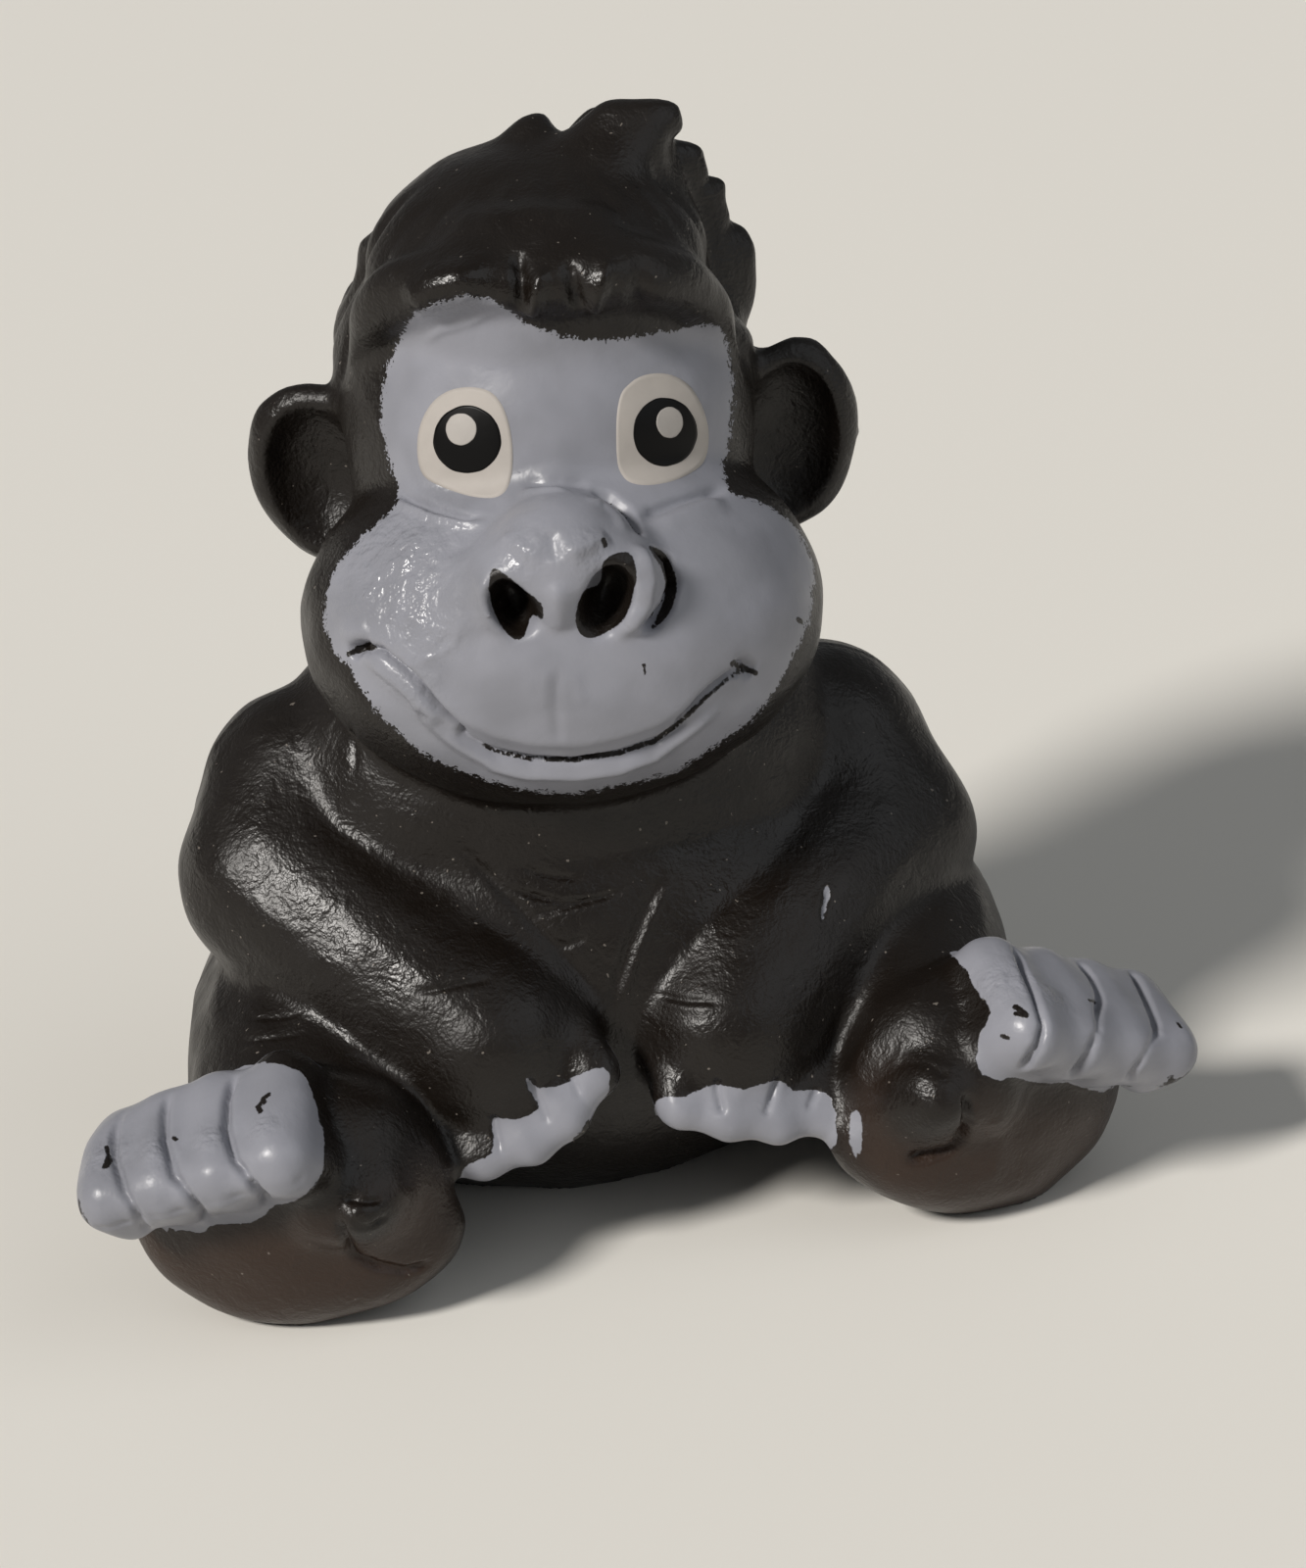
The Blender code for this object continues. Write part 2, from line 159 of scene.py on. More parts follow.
def baked(obj):
    # the object's mesh with its modifiers worked in
    mesh = bpy.data.meshes.new_from_object(obj.evaluated_get(bpy.context.evaluated_depsgraph_get()))
    obj.modifiers.clear()
    old = obj.data
    obj.data = mesh
    bpy.data.meshes.remove(old)
    return mesh


def mergedCopy(node):
    # a CAD node's loose triangles, with the corners that lie together made one
    source = node.data
    places = placesOf(source)
    _, first, back = np.unique(np.round(places * 2e3).astype(np.int64), axis=0,
                               return_index=True, return_inverse=True)
    tris = back.reshape(-1)[trianglesOf(source)]
    whole = (tris[:, 0] != tris[:, 1]) & (tris[:, 1] != tris[:, 2]) & (tris[:, 0] != tris[:, 2])
    return places[first], tris[whole]


def loopDivide(verts, tris):
    # Loop's rule: a new point on each edge is 3/8 of its ends and 1/8 of the two far corners,
    # and each old point moves towards the mean of its neighbours
    sides = np.concatenate([tris[:, [0, 1]], tris[:, [1, 2]], tris[:, [2, 0]]])
    far = np.concatenate([tris[:, 2], tris[:, 0], tris[:, 1]])
    edges, which = np.unique(np.sort(sides, 1), axis=0, return_inverse=True)
    which = which.reshape(-1)
    farSum = np.stack([np.bincount(which, verts[far, k], len(edges)) for k in range(3)], 1)
    farCount = np.bincount(which, minlength=len(edges))[:, None]
    ends = verts[edges].sum(1)
    middle = ends * 3 / 8 + farSum / np.maximum(farCount, 1) / 4
    count = np.bincount(edges.ravel(), minlength=len(verts))[:, None]
    around = np.stack([np.bincount(edges[:, 0], verts[edges[:, 1], k], len(verts)) +
                       np.bincount(edges[:, 1], verts[edges[:, 0], k], len(verts)) for k in range(3)], 1)
    pull = np.where(count == 3, 3 / 16, 3 / (8 * np.maximum(count, 1)))
    moved = verts * (1 - count * pull) + around * pull
    m = which.reshape(3, -1) + len(verts)
    a, b, c = tris.T
    new = np.concatenate([np.stack(f, 1) for f in
                          ((a, m[0], m[2]), (b, m[1], m[0]), (c, m[2], m[1]), (m[0], m[1], m[2]))])
    return np.concatenate([moved, middle]), new


# the solid's skin, refined and then sculpted
skin = {
    "grain": 0.105,  # mm between points while it is sculpted
    "triangles": 192000,  # what is kept, most of it where the shape is finest
    "fineBelow": 0.25,  # mm, strokes narrower than this keep all their points
    "uneven": 0.018,  # mm, slow unevenness of a hand-made master
}

cadVerts, cadTris = mergedCopy(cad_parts["gorilla_figure"])
fineVerts, fineTris = loopDivide(*loopDivide(cadVerts, cadTris))
figure = newObject("gorilla_skin", fineVerts, fineTris.tolist())
surface = BVHTree.FromPolygons([Vector(v) for v in cadVerts], [list(t) for t in cadTris])
print("skin refined", len(fineTris))

remesh = figure.modifiers.new("remesh", "REMESH")
remesh.mode = "VOXEL"
remesh.voxel_size = skin["grain"] * mm
soften = figure.modifiers.new("soften", "SMOOTH")
soften.factor = 0.5
soften.iterations = 2
clay = baked(figure)
print("skin evenly meshed", len(clay.vertices))


def densely(points, step):
    # points along a polyline no further apart than the step
    points = np.asarray(points, float)
    out = [points[:1]]
    for a, b in zip(points[:-1], points[1:]):
        n = max(1, int(np.ceil(np.linalg.norm(b - a) / step)))
        out.append(a + (b - a) * (np.arange(1, n + 1) / n)[:, None])
    return np.concatenate(out)


def traced(pixels):
    # where lines of sight through these pixels meet the skin
    hits = (surface.ray_cast(Vector(camPlace), sightThrough(pixel))[0] for pixel in densely(pixels, 6))
    return np.array([np.array(hit) for hit in hits if hit is not None])


def seenAt(pixel):
    # the one place of the skin seen at a pixel
    return traced([pixel, pixel])[0]


def fromAround(centre, angles, away=40):
    # where lines towards the centre, from 40 mm off at these azimuths and elevations, meet the skin
    outs = [towards(azimuth, elevation) for azimuth, elevation in densely(angles, 4)]
    hits = (surface.ray_cast(Vector(np.array(centre) + out * away), Vector(-out))[0] for out in outs)
    return np.array([np.array(hit) for hit in hits if hit is not None])


def awayFrom(points, line):
    # distance from each point to a polyline, and how far along the line its nearest place is, 0 to 1
    best = np.full(len(points), 1e9)
    along = np.zeros(len(points))
    steps = np.linalg.norm(np.diff(line, axis=0), axis=1)
    before = np.concatenate([[0], np.cumsum(steps)])
    for i, (a, b) in enumerate(zip(line[:-1], line[1:])):
        d = b - a
        t = np.clip((points - a) @ d / max(d @ d, 1e-12), 0, 1)
        gap = np.linalg.norm(points - a - t[:, None] * d, axis=1)
        nearer = gap < best
        best[nearer] = gap[nearer]
        along[nearer] = (before[i] + t[nearer] * steps[i]) / max(before[-1], 1e-9)
    return best, along


def nearTo(line, reach):
    # the points in the line's box, widened by the reach
    return np.all((places > line.min(0) - reach) & (places < line.max(0) + reach), axis=1)


def stroke(line, wide, high, fade=0.25):
    # raises (or with a minus presses) the skin along a line: a bell curve across it that fades at its ends
    if len(line) < 2:
        return
    index = np.nonzero(nearTo(line, 3 * wide))[0]
    gap, along = awayFrom(places[index], line)
    ends = 1.0
    if fade:
        share = np.clip(np.minimum(along, 1 - along) / fade, 0, 1)
        ends = share * share * (3 - 2 * share)
    places[index] += normals[index] * (high * np.exp(-(gap / wide) ** 2) * ends)[:, None]
    if wide < skin["fineBelow"]:
        fine[index[gap < 2.5 * wide]] = 1.0


def strokeAll(lines, fade=0.25):
    # each named line in turn: its pixels, width in mm and height in mm
    for pixels, wide, high in lines.values():
        stroke(traced(pixels), wide, high, fade)
    freshNormals()


def relax(line, wide, times):
    # evens out the skin near a line: each point goes towards the mean of its neighbours,
    # by a bell curve of its distance
    near = nearTo(line, 2.6 * wide)
    index = np.nonzero(near)[0]
    order = np.cumsum(near) - 1
    pairs = order[edges[near[edges].all(1)]]
    share = 0.6 * np.exp(-(awayFrom(places[index], line)[0] / wide) ** 2)[:, None]
    share[share < 0.002] = 0
    count = np.maximum(np.bincount(pairs.ravel(), minlength=len(index)), 1)[:, None]
    moved = places[index]
    for _ in range(times):
        around = np.stack([np.bincount(pairs[:, 0], moved[pairs[:, 1], k], len(index)) +
                           np.bincount(pairs[:, 1], moved[pairs[:, 0], k], len(index)) for k in range(3)], 1)
        moved += (around / count - moved) * share
    places[index] = moved


def push(centre, wide, move, power=2):
    # moves the skin round a point, by a bell curve of the distance, flatter on top for a higher power
    global places
    gap = np.linalg.norm(places - np.array(centre), axis=1)
    places += np.array(move) * np.exp(-(gap / wide) ** power)[:, None]


def grab(start, end, wide):
    # pulls the skin seen at one pixel towards another, across the line of sight
    seen = np.linalg.norm(toPixels(places) - start, axis=1)
    nearest = places[np.argmin(seen + 1e3 * (np.abs(normals @ camBack) > 0.6))]
    across = (np.array(end) - start) / camera["pixelsPerMm"]
    push(nearest, wide, camRight * across[0] - camUp * across[1])


def freshNormals():
    # the ways out of the skin as it now stands
    global normals
    setPlaces(clay, places)
    normals = normalsOf(clay)


places = placesOf(clay)
normals = normalsOf(clay)
fine = np.zeros(len(places))
edges = readAll(clay.edges, "vertices", 2, np.int32)

# silhouette of hair, ears and toes, drawn out as in the photo: from, to, and mm round it that follow
silhouette = [
    ((684, 108), (695, 104), 0.60), ((692, 128), (698, 131), 0.40), ((714, 160), (722, 153), 0.50),
    ((717, 172), (723, 177), 0.35), ((736, 190), (744, 185), 0.50), ((745, 215), (751, 218), 0.45),
    ((751, 236), (762, 228), 0.60), ((756, 264), (768, 260), 0.90), ((757, 292), (768, 294), 0.90),
    ((758, 322), (768, 324), 0.90), ((758, 346), (767, 347), 0.80), ((362, 318), (347, 314), 1.60),
    ((352, 362), (341, 362), 1.40), ((372, 258), (367, 253), 0.80), ((985, 850), (1003, 846), 3.20),
    ((92, 1128), (101, 1138), 1.10), ((545, 122), (552, 116), 0.60), ((832, 354), (829, 344), 2.60),
    ((871, 440), (876, 441), 0.30), ((300, 392), (300, 397), 1.20),
]
for start, end, wide in silhouette:
    grab(start, end, wide)
freshNormals()

# the head's own frame is the solid's
head = {
    "middle": (0.9, 0.5, 27.5),
    "turn": -10.0,
    "front": -1.5,  # where the face begins, forward being minus
    "chin": -12.2,
}
t = math.radians(head["turn"])
headAxes = np.array([[math.cos(t), math.sin(t), 0], [-math.sin(t), math.cos(t), 0], [0, 0, 1]])


def inHead(points):
    # places in the head's frame: moved to its middle, then turned back
    return (points - np.array(head["middle"])) @ headAxes.T


def fromHead(points):
    # the way back from the head's frame
    return np.asarray(points, float) @ headAxes + np.array(head["middle"])


# the smile lies on the muzzle, an ellipsoid, and is the same line as the solid's
mouth = {
    "muzzle": (0.0, -4.5, -5.2),
    "radii": (9.0, 7.5, 6.4),
    "width": 13.0,
    "aside": -0.3,
    "drop": 2.6,
    "curve": 2.3,
    "lean": 5.5,
}


def mouthLine():
    # a leaning parabola seen from the front, laid on the front of the ellipsoid
    share = np.linspace(-1, 1, 60)
    x = mouth["aside"] + share * mouth["width"] / 2
    z = -mouth["drop"] + mouth["curve"] * share ** 2 - x * math.tan(math.radians(mouth["lean"]))
    rx, ry, rz = mouth["radii"]
    bulge = np.sqrt(np.maximum(0, 1 - (x / rx) ** 2 - (z / rz) ** 2))
    return fromHead(np.stack([x, -bulge * ry, z], 1) + np.array(mouth["muzzle"]))


# the solid's round groove is evened out, and so is the step of the hood over the brow
hoodEdge = [(392, 304), (412, 276), (440, 258), (480, 247), (540, 245), (600, 245), (660, 248), (704, 262),
            (736, 296)]
relax(mouthLine(), 0.75, 120)
relax(traced(hoodEdge), 1.25, 320)
freshNormals()
smilePixels = [(374, 661), (388, 664), (404, 677), (421, 692), (446, 721), (473, 748), (505, 766), (541, 774),
               (586, 775), (632, 768), (668, 756), (693, 738), (719, 713), (746, 690), (760, 685)]
stroke(traced(smilePixels), 0.15, -0.42, fade=0.02)
stroke(traced([(u + 1, v + 17) for u, v in smilePixels[2:-1]]), 0.28, 0.24, fade=0.12)
stroke(traced([(u, v - 14) for u, v in smilePixels[2:-1]]), 0.30, 0.06, fade=0.2)
freshNormals()

# every table of lines gives pixels, width in mm and height in mm
faceLines = {
    "dimpleRight": ([(354, 668), (366, 661), (380, 660)], 0.20, -0.60),
    "dimpleLeft": ([(748, 684), (760, 681), (772, 688)], 0.30, -0.40),
    "cheekOverRight": ([(345, 646), (360, 646), (378, 644)], 0.30, 0.10),
    "lipRight": ([(366, 672), (388, 686), (410, 703), (432, 729), (456, 752)], 0.20, 0.14),
    "philtrum": ([(571, 676), (568, 705), (568, 735), (571, 762)], 0.20, -0.06),
    "philtrumSideRight": ([(560, 680), (556, 700), (555, 726)], 0.20, 0.03),
    "philtrumSideLeft": ([(584, 684), (590, 700), (596, 722)], 0.20, 0.03),
    "cheekScar": ([(474, 641), (466, 654), (453, 665), (436, 673), (419, 679)], 0.11, 0.05),
    "underEyeRight": ([(440, 500), (470, 506), (500, 506), (522, 496)], 0.60, -0.10),
    "eyeBagRight": ([(402, 500), (424, 511), (446, 519), (474, 527), (500, 528)], 0.17, -0.22),
    "eyeBagRightLip": ([(402, 508), (424, 519), (446, 527), (474, 534), (502, 535)], 0.16, 0.17),
    "cheekByNose": ([(474, 556), (466, 590), (470, 628), (486, 660)], 0.60, 0.22),
    "bridgeFold": ([(528, 496), (548, 492), (570, 491), (592, 494), (606, 499)], 0.20, -0.16),
    "bridgeFoldLip": ([(528, 505), (544, 501), (562, 499), (584, 501)], 0.18, 0.12),
    "eyeBagLeft": ([(600, 499), (620, 506), (636, 518), (650, 536), (660, 550)], 0.19, -0.42),
    "eyeBagLeftLip": ([(594, 508), (614, 514), (628, 526), (640, 545)], 0.24, 0.12),
    "cheekTopLeft": ([(652, 534), (668, 521), (696, 510), (726, 502), (746, 496)], 0.24, -0.26),
    "cheekTopLeftLip": ([(668, 540), (690, 526), (716, 516), (744, 509)], 0.45, 0.16),
    "noseSplit": ([(561, 540), (563, 556), (566, 574)], 0.26, -0.14),
    "noseRidgeLeft": ([(576, 572), (590, 560), (606, 551), (624, 548)], 0.32, 0.20),
    "noseRidgeRight": ([(505, 552), (520, 551), (535, 560), (548, 578)], 0.32, 0.16),
    "wingLeft": ([(640, 551), (655, 566), (662, 590), (659, 616), (645, 638), (622, 651)], 0.26, 0.32),
    "wingLeftGroove": ([(664, 556), (681, 570), (688, 592), (682, 618), (668, 636), (650, 645)], 0.16, -0.70),
    "wingRight": ([(492, 588), (493, 610), (500, 634), (512, 652)], 0.24, 0.10),
    "septum": ([(568, 590), (570, 620), (572, 650)], 0.36, 0.20),
    "browDent": ([(528, 256), (530, 285), (533, 318)], 0.24, -0.34),
    "browDentMiddle": ([(578, 258), (585, 286), (590, 318)], 0.24, -0.32),
    "browDentLeft": ([(664, 250), (656, 282), (648, 316)], 0.34, -0.24),
    "forelockLeft": ([(604, 322), (613, 292), (627, 254)], 0.28, 0.32),
    "forelockMiddle": ([(541, 326), (547, 302), (556, 268)], 0.28, 0.26),
    "forelockRight": ([(412, 318), (436, 296), (464, 286), (496, 288)], 0.60, 0.26),
    "browLobeRight": ([(415, 318), (440, 290), (480, 280), (508, 292)], 0.85, 0.20),
    "browLobeLeft": ([(650, 306), (680, 302), (705, 308), (730, 326)], 0.70, 0.16),
    "browFoldRight": ([(430, 352), (452, 336), (480, 330), (505, 318)], 0.14, 0.05),
    "lidRight": ([(420, 398), (446, 384), (478, 379), (508, 386)], 0.50, 0.05),
    "lidLeft": ([(634, 384), (664, 370), (700, 376), (722, 396)], 0.50, 0.05),
}
strokeAll(faceLines)

# hair: grooves that run up and back over the skull, between the locks
hairFrom = fromHead([[0, 0, 1.5]])[0]
hair = {
    "front": [(-62, 34), (-48, 42), (-34, 47), (-20, 50), (-6, 50), (8, 50), (22, 49), (36, 46), (50, 42),
              (64, 34)],
    "back": [(80, 30), (98, 22), (116, 16), (134, 12), (152, 10), (170, 9), (188, 9), (206, 10), (224, 12),
             (242, 16), (260, 22), (278, 30)],
    "bendFront": 6, "bendBack": 7,  # degrees
    "strandFront": (0.30, -0.05), "strandBack": (0.36, -0.20),
}
rng = np.random.default_rng(7)
for az, el in hair["front"]:
    bend = rng.uniform(-hair["bendFront"], hair["bendFront"])
    line = fromAround(hairFrom, [(az - 10, el), (az - 10 + bend, el + 16), (az - 4, el + 32)])
    stroke(line, *hair["strandFront"])
for az, el in hair["back"]:
    bend = rng.uniform(-hair["bendBack"], hair["bendBack"])
    bends = [(az - 10, el - 34), (az - 10 + bend, el - 8), (az - 8, el + 18), (az - 8, el + 38)]
    line = fromAround(hairFrom, bends)
    stroke(line, *hair["strandBack"])
freshNormals()
print("head sculpted")

# feet and hands, in the same frames as the solid's
foot = {
    -1: {"place": (-11.8, -9.2, 4.5), "splay": -16.0, "roll": -10.0, "firstToe": 1.2},
    1: {"place": (12.9, -8.7, 4.4), "splay": 20.0, "roll": 21.0, "firstToe": 1.6},
    "height": 9.4, "depth": 6.0, "toes": 4,
    "toeThick": 2.7, "toeShrink": 0.15, "toeOverlap": 0.5, "toeLength": 3.0,
    "valleyRelax": (0.62, 90), "valleyFill": (0.46, 0.14), "fold": (0.14, -0.09),
    "paintReach": 7.5, "soleRadii": (5.6, 4.7),
}
hand = {
    -1: {"wrist": (-4.2, -7.4, 8.4), "knuckles": (-3.3, -9.1, 6.9), "tilt": 32.0},
    1: {"wrist": (4.3, -7.2, 7.4), "knuckles": (4.3, -9.0, 5.9), "tilt": -10.0},
    "reach": {-1: (0.40, 0.80, 0.80, 0.40), 1: (0.25, 0.35, 0.55, 0.75)},  # how much further each finger goes
    "width": 7.4, "fingers": 4, "thick": 1.9, "length": 2.2,
    "valleyFill": (0.40, 0.30), "paintReach": 3.2,
}


def footMatrix(side):
    # moved to the ankle, splayed, then rolled
    f = foot[side]
    turned = Matrix.Rotation(math.radians(f["splay"]), 4, "Z") @ Matrix.Rotation(math.radians(f["roll"]), 4, "Y")
    return np.array(Matrix.Translation(Vector(f["place"])) @ turned)


def placed(matrix, points):
    # points carried by a matrix
    return np.asarray(points, float) @ matrix[:3, :3].T + matrix[:3, 3]


def toeLines(side):
    # the bent axis of each toe: root, knuckle and tip, and its thickness
    lines = []
    beside = -side * foot[side]["firstToe"]
    for k in range(foot["toes"]):
        thick = foot["toeThick"] - k * foot["toeShrink"]
        top = foot["height"] * 0.46 - k * foot["toeShrink"]
        points = [(beside, -foot["depth"] * 0.12, top),
                  (beside - side * thick * 0.05, -foot["depth"] * 0.66, top - thick * 0.42),
                  (beside - side * thick * 0.22, -foot["depth"] * 0.54, top - foot["toeLength"] + thick / 2)]
        lines.append((placed(footMatrix(side), points), thick))
        beside += side * (thick - foot["toeOverlap"])
    return lines


def handMatrix(side):
    # at the knuckles, looking away from the wrist, with the row of fingers tilted
    h = hand[side]
    wrist, knuckles = Vector(h["wrist"]), Vector(h["knuckles"])
    reach = (knuckles - wrist).normalized()
    across = Matrix.Rotation(-math.radians(h["tilt"]), 3, "Y") @ Vector((1, 0, 0))
    turned = Matrix((across, across.cross(reach), reach)).transposed()
    return np.array(Matrix.Translation(knuckles) @ turned.to_4x4())


def fingerLines(side):
    # the axis of each finger, the outer ones set back by the square of their offset, and its thickness
    lines = []
    pitch = (hand["width"] * 0.92 - hand["thick"]) / (hand["fingers"] - 1)
    for k in range(hand["fingers"]):
        beside = (k - (hand["fingers"] - 1) / 2) * pitch
        droop = 4 * (beside / hand["width"]) ** 2 * hand["thick"] * 0.6
        tip = hand["length"] - hand["thick"] / 2 - droop
        lines.append((placed(handMatrix(side), [(beside, 0, -hand["length"]), (beside, 0, tip)]), hand["thick"]))
    return lines


for side in (-1, 1):
    matrix = footMatrix(side)
    ahead = -matrix[:3, 1]
    toes = toeLines(side)
    for (a, thickA), (b, thickB) in zip(toes[:-1], toes[1:]):
        # the solid's round valleys are filled a little, and the real, slanting creases cut below
        between = (a + b) / 2
        between[1] += ahead * thickA * 0.36
        between[2] += ahead * thickA * 0.30
        relax(densely(between, 0.2), *foot["valleyRelax"])
        stroke(densely(between[1:], 0.2), *foot["valleyFill"], fade=0.0)
    for a, thick in toes:
        # the fold under each knuckle
        fold = a[1] * 0.45 + a[2] * 0.55 + ahead * thick * 0.52
        across = matrix[:3, 0] * thick * 0.34
        stroke(np.array([fold - across, fold, fold + across]), *foot["fold"])
    matrix = handMatrix(side)
    fingers = fingerLines(side)
    front = matrix[:3, 1] if matrix[1, 1] < 0 else -matrix[:3, 1]
    for (a, thickA), (b, thickB) in zip(fingers[:-1], fingers[1:]):
        # the fingertips run together into one thick edge
        between = (a + b) / 2
        between[0] = between[1] - matrix[:3, 2] * 0.6
        stroke(densely(between, 0.2), *hand["valleyFill"], fade=0.0)
    # and they reach a little further than the solid's
    for (line, thick), more in zip(fingers, hand["reach"][side]):
        push(line[1] + matrix[:3, 2] * 0.3, 1.0, matrix[:3, 2] * more * 0.62 + front * 0.06)

# the rest of the solid's valleys between the toes
toeValleys = [
    [(1044, 958), (1074, 1008), (1100, 1062)], [(1092, 968), (1122, 1018), (1148, 1066)],
    [(1142, 980), (1170, 1026), (1194, 1074)], [(164, 1102), (163, 1134)], [(236, 1098), (234, 1130)],
    [(116, 1130), (114, 1160)],
]
for valley in toeValleys:
    relax(traced(valley), 0.80, 160)

# the big toes are round lobes, each with a crease under it: radius, height, and the reach in mm that stays dark,
# free of the painted sole glow
bigToes = [
    {"around": [(352, 1236), (380, 1236), (400, 1262), (420, 1284)], "lobe": (378, 1250),
     "radius": 0.95, "high": 0.45, "dark": 1.2},
    {"around": [(915, 1104), (945, 1100), (975, 1108), (990, 1130), (975, 1160)], "lobe": (938, 1134),
     "radius": 1.75, "high": 0.60, "dark": 2.0},
]
for toe in bigToes:
    relax(traced(toe["around"]), 1.3, 200)
    push(seenAt(toe["lobe"]), toe["radius"], camBack * toe["high"] - camRight * 0.12, power=5)
    relax(traced([toe["lobe"], (toe["lobe"][0] + 8, toe["lobe"][1])]), 2.2, 12)
freshNormals()

creases = {
    "toesRightA": ([(240, 1094), (232, 1122), (231, 1149), (240, 1183), (262, 1214), (279, 1232)], 0.15, -0.36),
    "toesRightB": ([(173, 1104), (167, 1132), (168, 1160), (178, 1199), (200, 1228), (221, 1250)], 0.15, -0.32),
    "toesRightC": ([(124, 1122), (116, 1148), (116, 1176), (127, 1216), (140, 1238), (152, 1258)], 0.15, -0.30),
    "toesLeftA": ([(1026, 950), (1042, 976), (1056, 1012), (1066, 1044), (1060, 1068), (1042, 1096)], 0.15, -0.38),
    "toesLeftB": ([(1090, 960), (1112, 996), (1122, 1020), (1126, 1048), (1112, 1078), (1092, 1102)], 0.15, -0.36),
    "toesLeftC": ([(1154, 984), (1172, 1024), (1184, 1052), (1172, 1078), (1152, 1104)], 0.15, -0.34),
    "fingersRightA": ([(503, 1138), (508, 1158), (513, 1178)], 0.13, -0.20),
    "fingersRightB": ([(541, 1100), (550, 1122), (562, 1146)], 0.13, -0.22),
    "fingersRightC": ([(583, 1096), (590, 1114), (600, 1134)], 0.13, -0.18),
    "fingersLeftA": ([(731, 1100), (733, 1118), (738, 1138)], 0.13, -0.20),
    "fingersLeftB": ([(795, 1099), (788, 1118), (780, 1140)], 0.13, -0.22),
    "fingersLeftC": ([(835, 1109), (827, 1128), (819, 1148)], 0.13, -0.18),
    "bigToeRight": ([(344, 1240), (350, 1262), (364, 1282), (388, 1294), (415, 1300), (446, 1292)], 0.17, -0.34),
    "bigToeRightFold": ([(352, 1222), (372, 1226), (392, 1222)], 0.14, -0.18),
    "bigToeRightFoldB": ([(360, 1246), (382, 1250), (400, 1244)], 0.14, -0.16),
    "bigToeLeft": ([(984, 1112), (991, 1130), (990, 1150), (980, 1164), (964, 1174), (944, 1180), (922, 1184)],
                   0.20, -0.42),
    "bigToeLeftTop": ([(914, 1088), (942, 1088), (968, 1100)], 0.18, -0.12),
    "soleRidge": ([(1018, 1140), (1020, 1175), (1012, 1210)], 0.40, 0.08),
}
strokeAll(creases, fade=0.12)
print("hands and feet sculpted")

bodyLines = {
    "chestFoldA": ([(512, 904), (545, 914), (572, 921), (600, 919), (623, 914)], 0.12, -0.13),
    "chestFoldB": ([(541, 933), (580, 926), (620, 914), (641, 905)], 0.12, -0.12),
    "chestFoldC": ([(565, 963), (580, 965), (600, 955)], 0.12, -0.10),
    "chestFoldD": ([(520, 880), (560, 894), (600, 898)], 0.12, -0.09),
    "shoulderFold": ([(356, 728), (362, 755), (363, 780), (358, 806)], 0.13, -0.07),
    "elbowFoldRight": ([(418, 1014), (445, 1010), (476, 1003), (506, 997)], 0.14, -0.10),
    "thighFoldA": ([(248, 1040), (280, 1039), (311, 1034)], 0.11, -0.06),
    "thighFoldB": ([(240, 1064), (275, 1060), (315, 1052)], 0.11, -0.06),
    "wristFoldLeft": ([(665, 1014), (700, 1021), (741, 1023)], 0.12, -0.08),
    "wristFoldLeftLip": ([(668, 1022), (702, 1029), (738, 1030)], 0.14, 0.04),
    "nickLeft": ([(846, 905), (842, 925), (840, 942)], 0.11, -0.10),
    "nickLeftLip": ([(838, 908), (835, 926), (834, 940)], 0.10, 0.05),
    "armEdgeLeft": ([(690, 888), (672, 925), (655, 962), (641, 1002), (629, 1037)], 0.11, 0.07),
    "armInnerLeft": ([(680, 884), (660, 925), (643, 965), (630, 1005), (622, 1040)], 0.22, -0.12),
    "armInnerRight": ([(452, 850), (500, 895), (538, 935), (590, 990), (622, 1030)], 0.22, -0.12),
}
# the left forearm swells a little towards the camera
push(seenAt((745, 915)), 1.8, camBack * 0.10 - camRight * 0.16 + camUp * 0.10)
strokeAll(bodyLines)

# folds that the camera doesn't see, as angles round the trunk: spine, shoulder blades and the pad between them
backLines = {
    "spine": ([(178, 42), (180, 20), (180, -10), (180, -30)], 0.80, -0.14),
    "saddle": ([(150, 8), (165, 9), (180, 9), (195, 9), (210, 8)], 1.60, 0.22),
    "bladeRight": ([(216, 44), (224, 30), (236, 20)], 0.50, -0.14),
    "bladeLeft": ([(144, 44), (136, 30), (124, 20)], 0.50, -0.14),
}
for angles, wide, high in backLines.values():
    stroke(fromAround((0, 0.5, 10), angles), wide, high)
freshNormals()

# the seam of the two-part mould, over the sides of the figure: a slight raised line
seam = {"back": 1.6, "wander": 0.25, "perMm": 0.7, "high": 0.030, "wide": 0.10, "top": 19.5, "fade": 1.5}
offSeam = np.abs(places[:, 1] - seam["back"] - seam["wander"] * np.sin(places[:, 2] * seam["perMm"]))
offHead = np.clip((seam["top"] - places[:, 2]) / seam["fade"], 0, 1)
places += normals * (seam["high"] * np.exp(-(offSeam / seam["wide"]) ** 2) * offHead)[:, None]


def insideBy(points, outline):
    # signed distance to a closed outline: crossings of a level line say in or out
    best = np.full(len(points), 1e9)
    inside = np.zeros(len(points), bool)
    for p, q in zip(outline, np.roll(outline, -1, 0)):
        d = q - p
        s = np.clip((points - p) @ d / (d @ d), 0, 1)
        best = np.minimum(best, np.linalg.norm(points - p - s[:, None] * d, axis=1))
        crosses = (p[1] > points[:, 1]) != (q[1] > points[:, 1])
        level = p[0] + (points[:, 1] - p[1]) / (q[1] - p[1] if q[1] != p[1] else 1e-9) * d[0]
        inside ^= crosses & (points[:, 0] < level)
    return np.where(inside, -best, best) / camera["pixelsPerMm"]


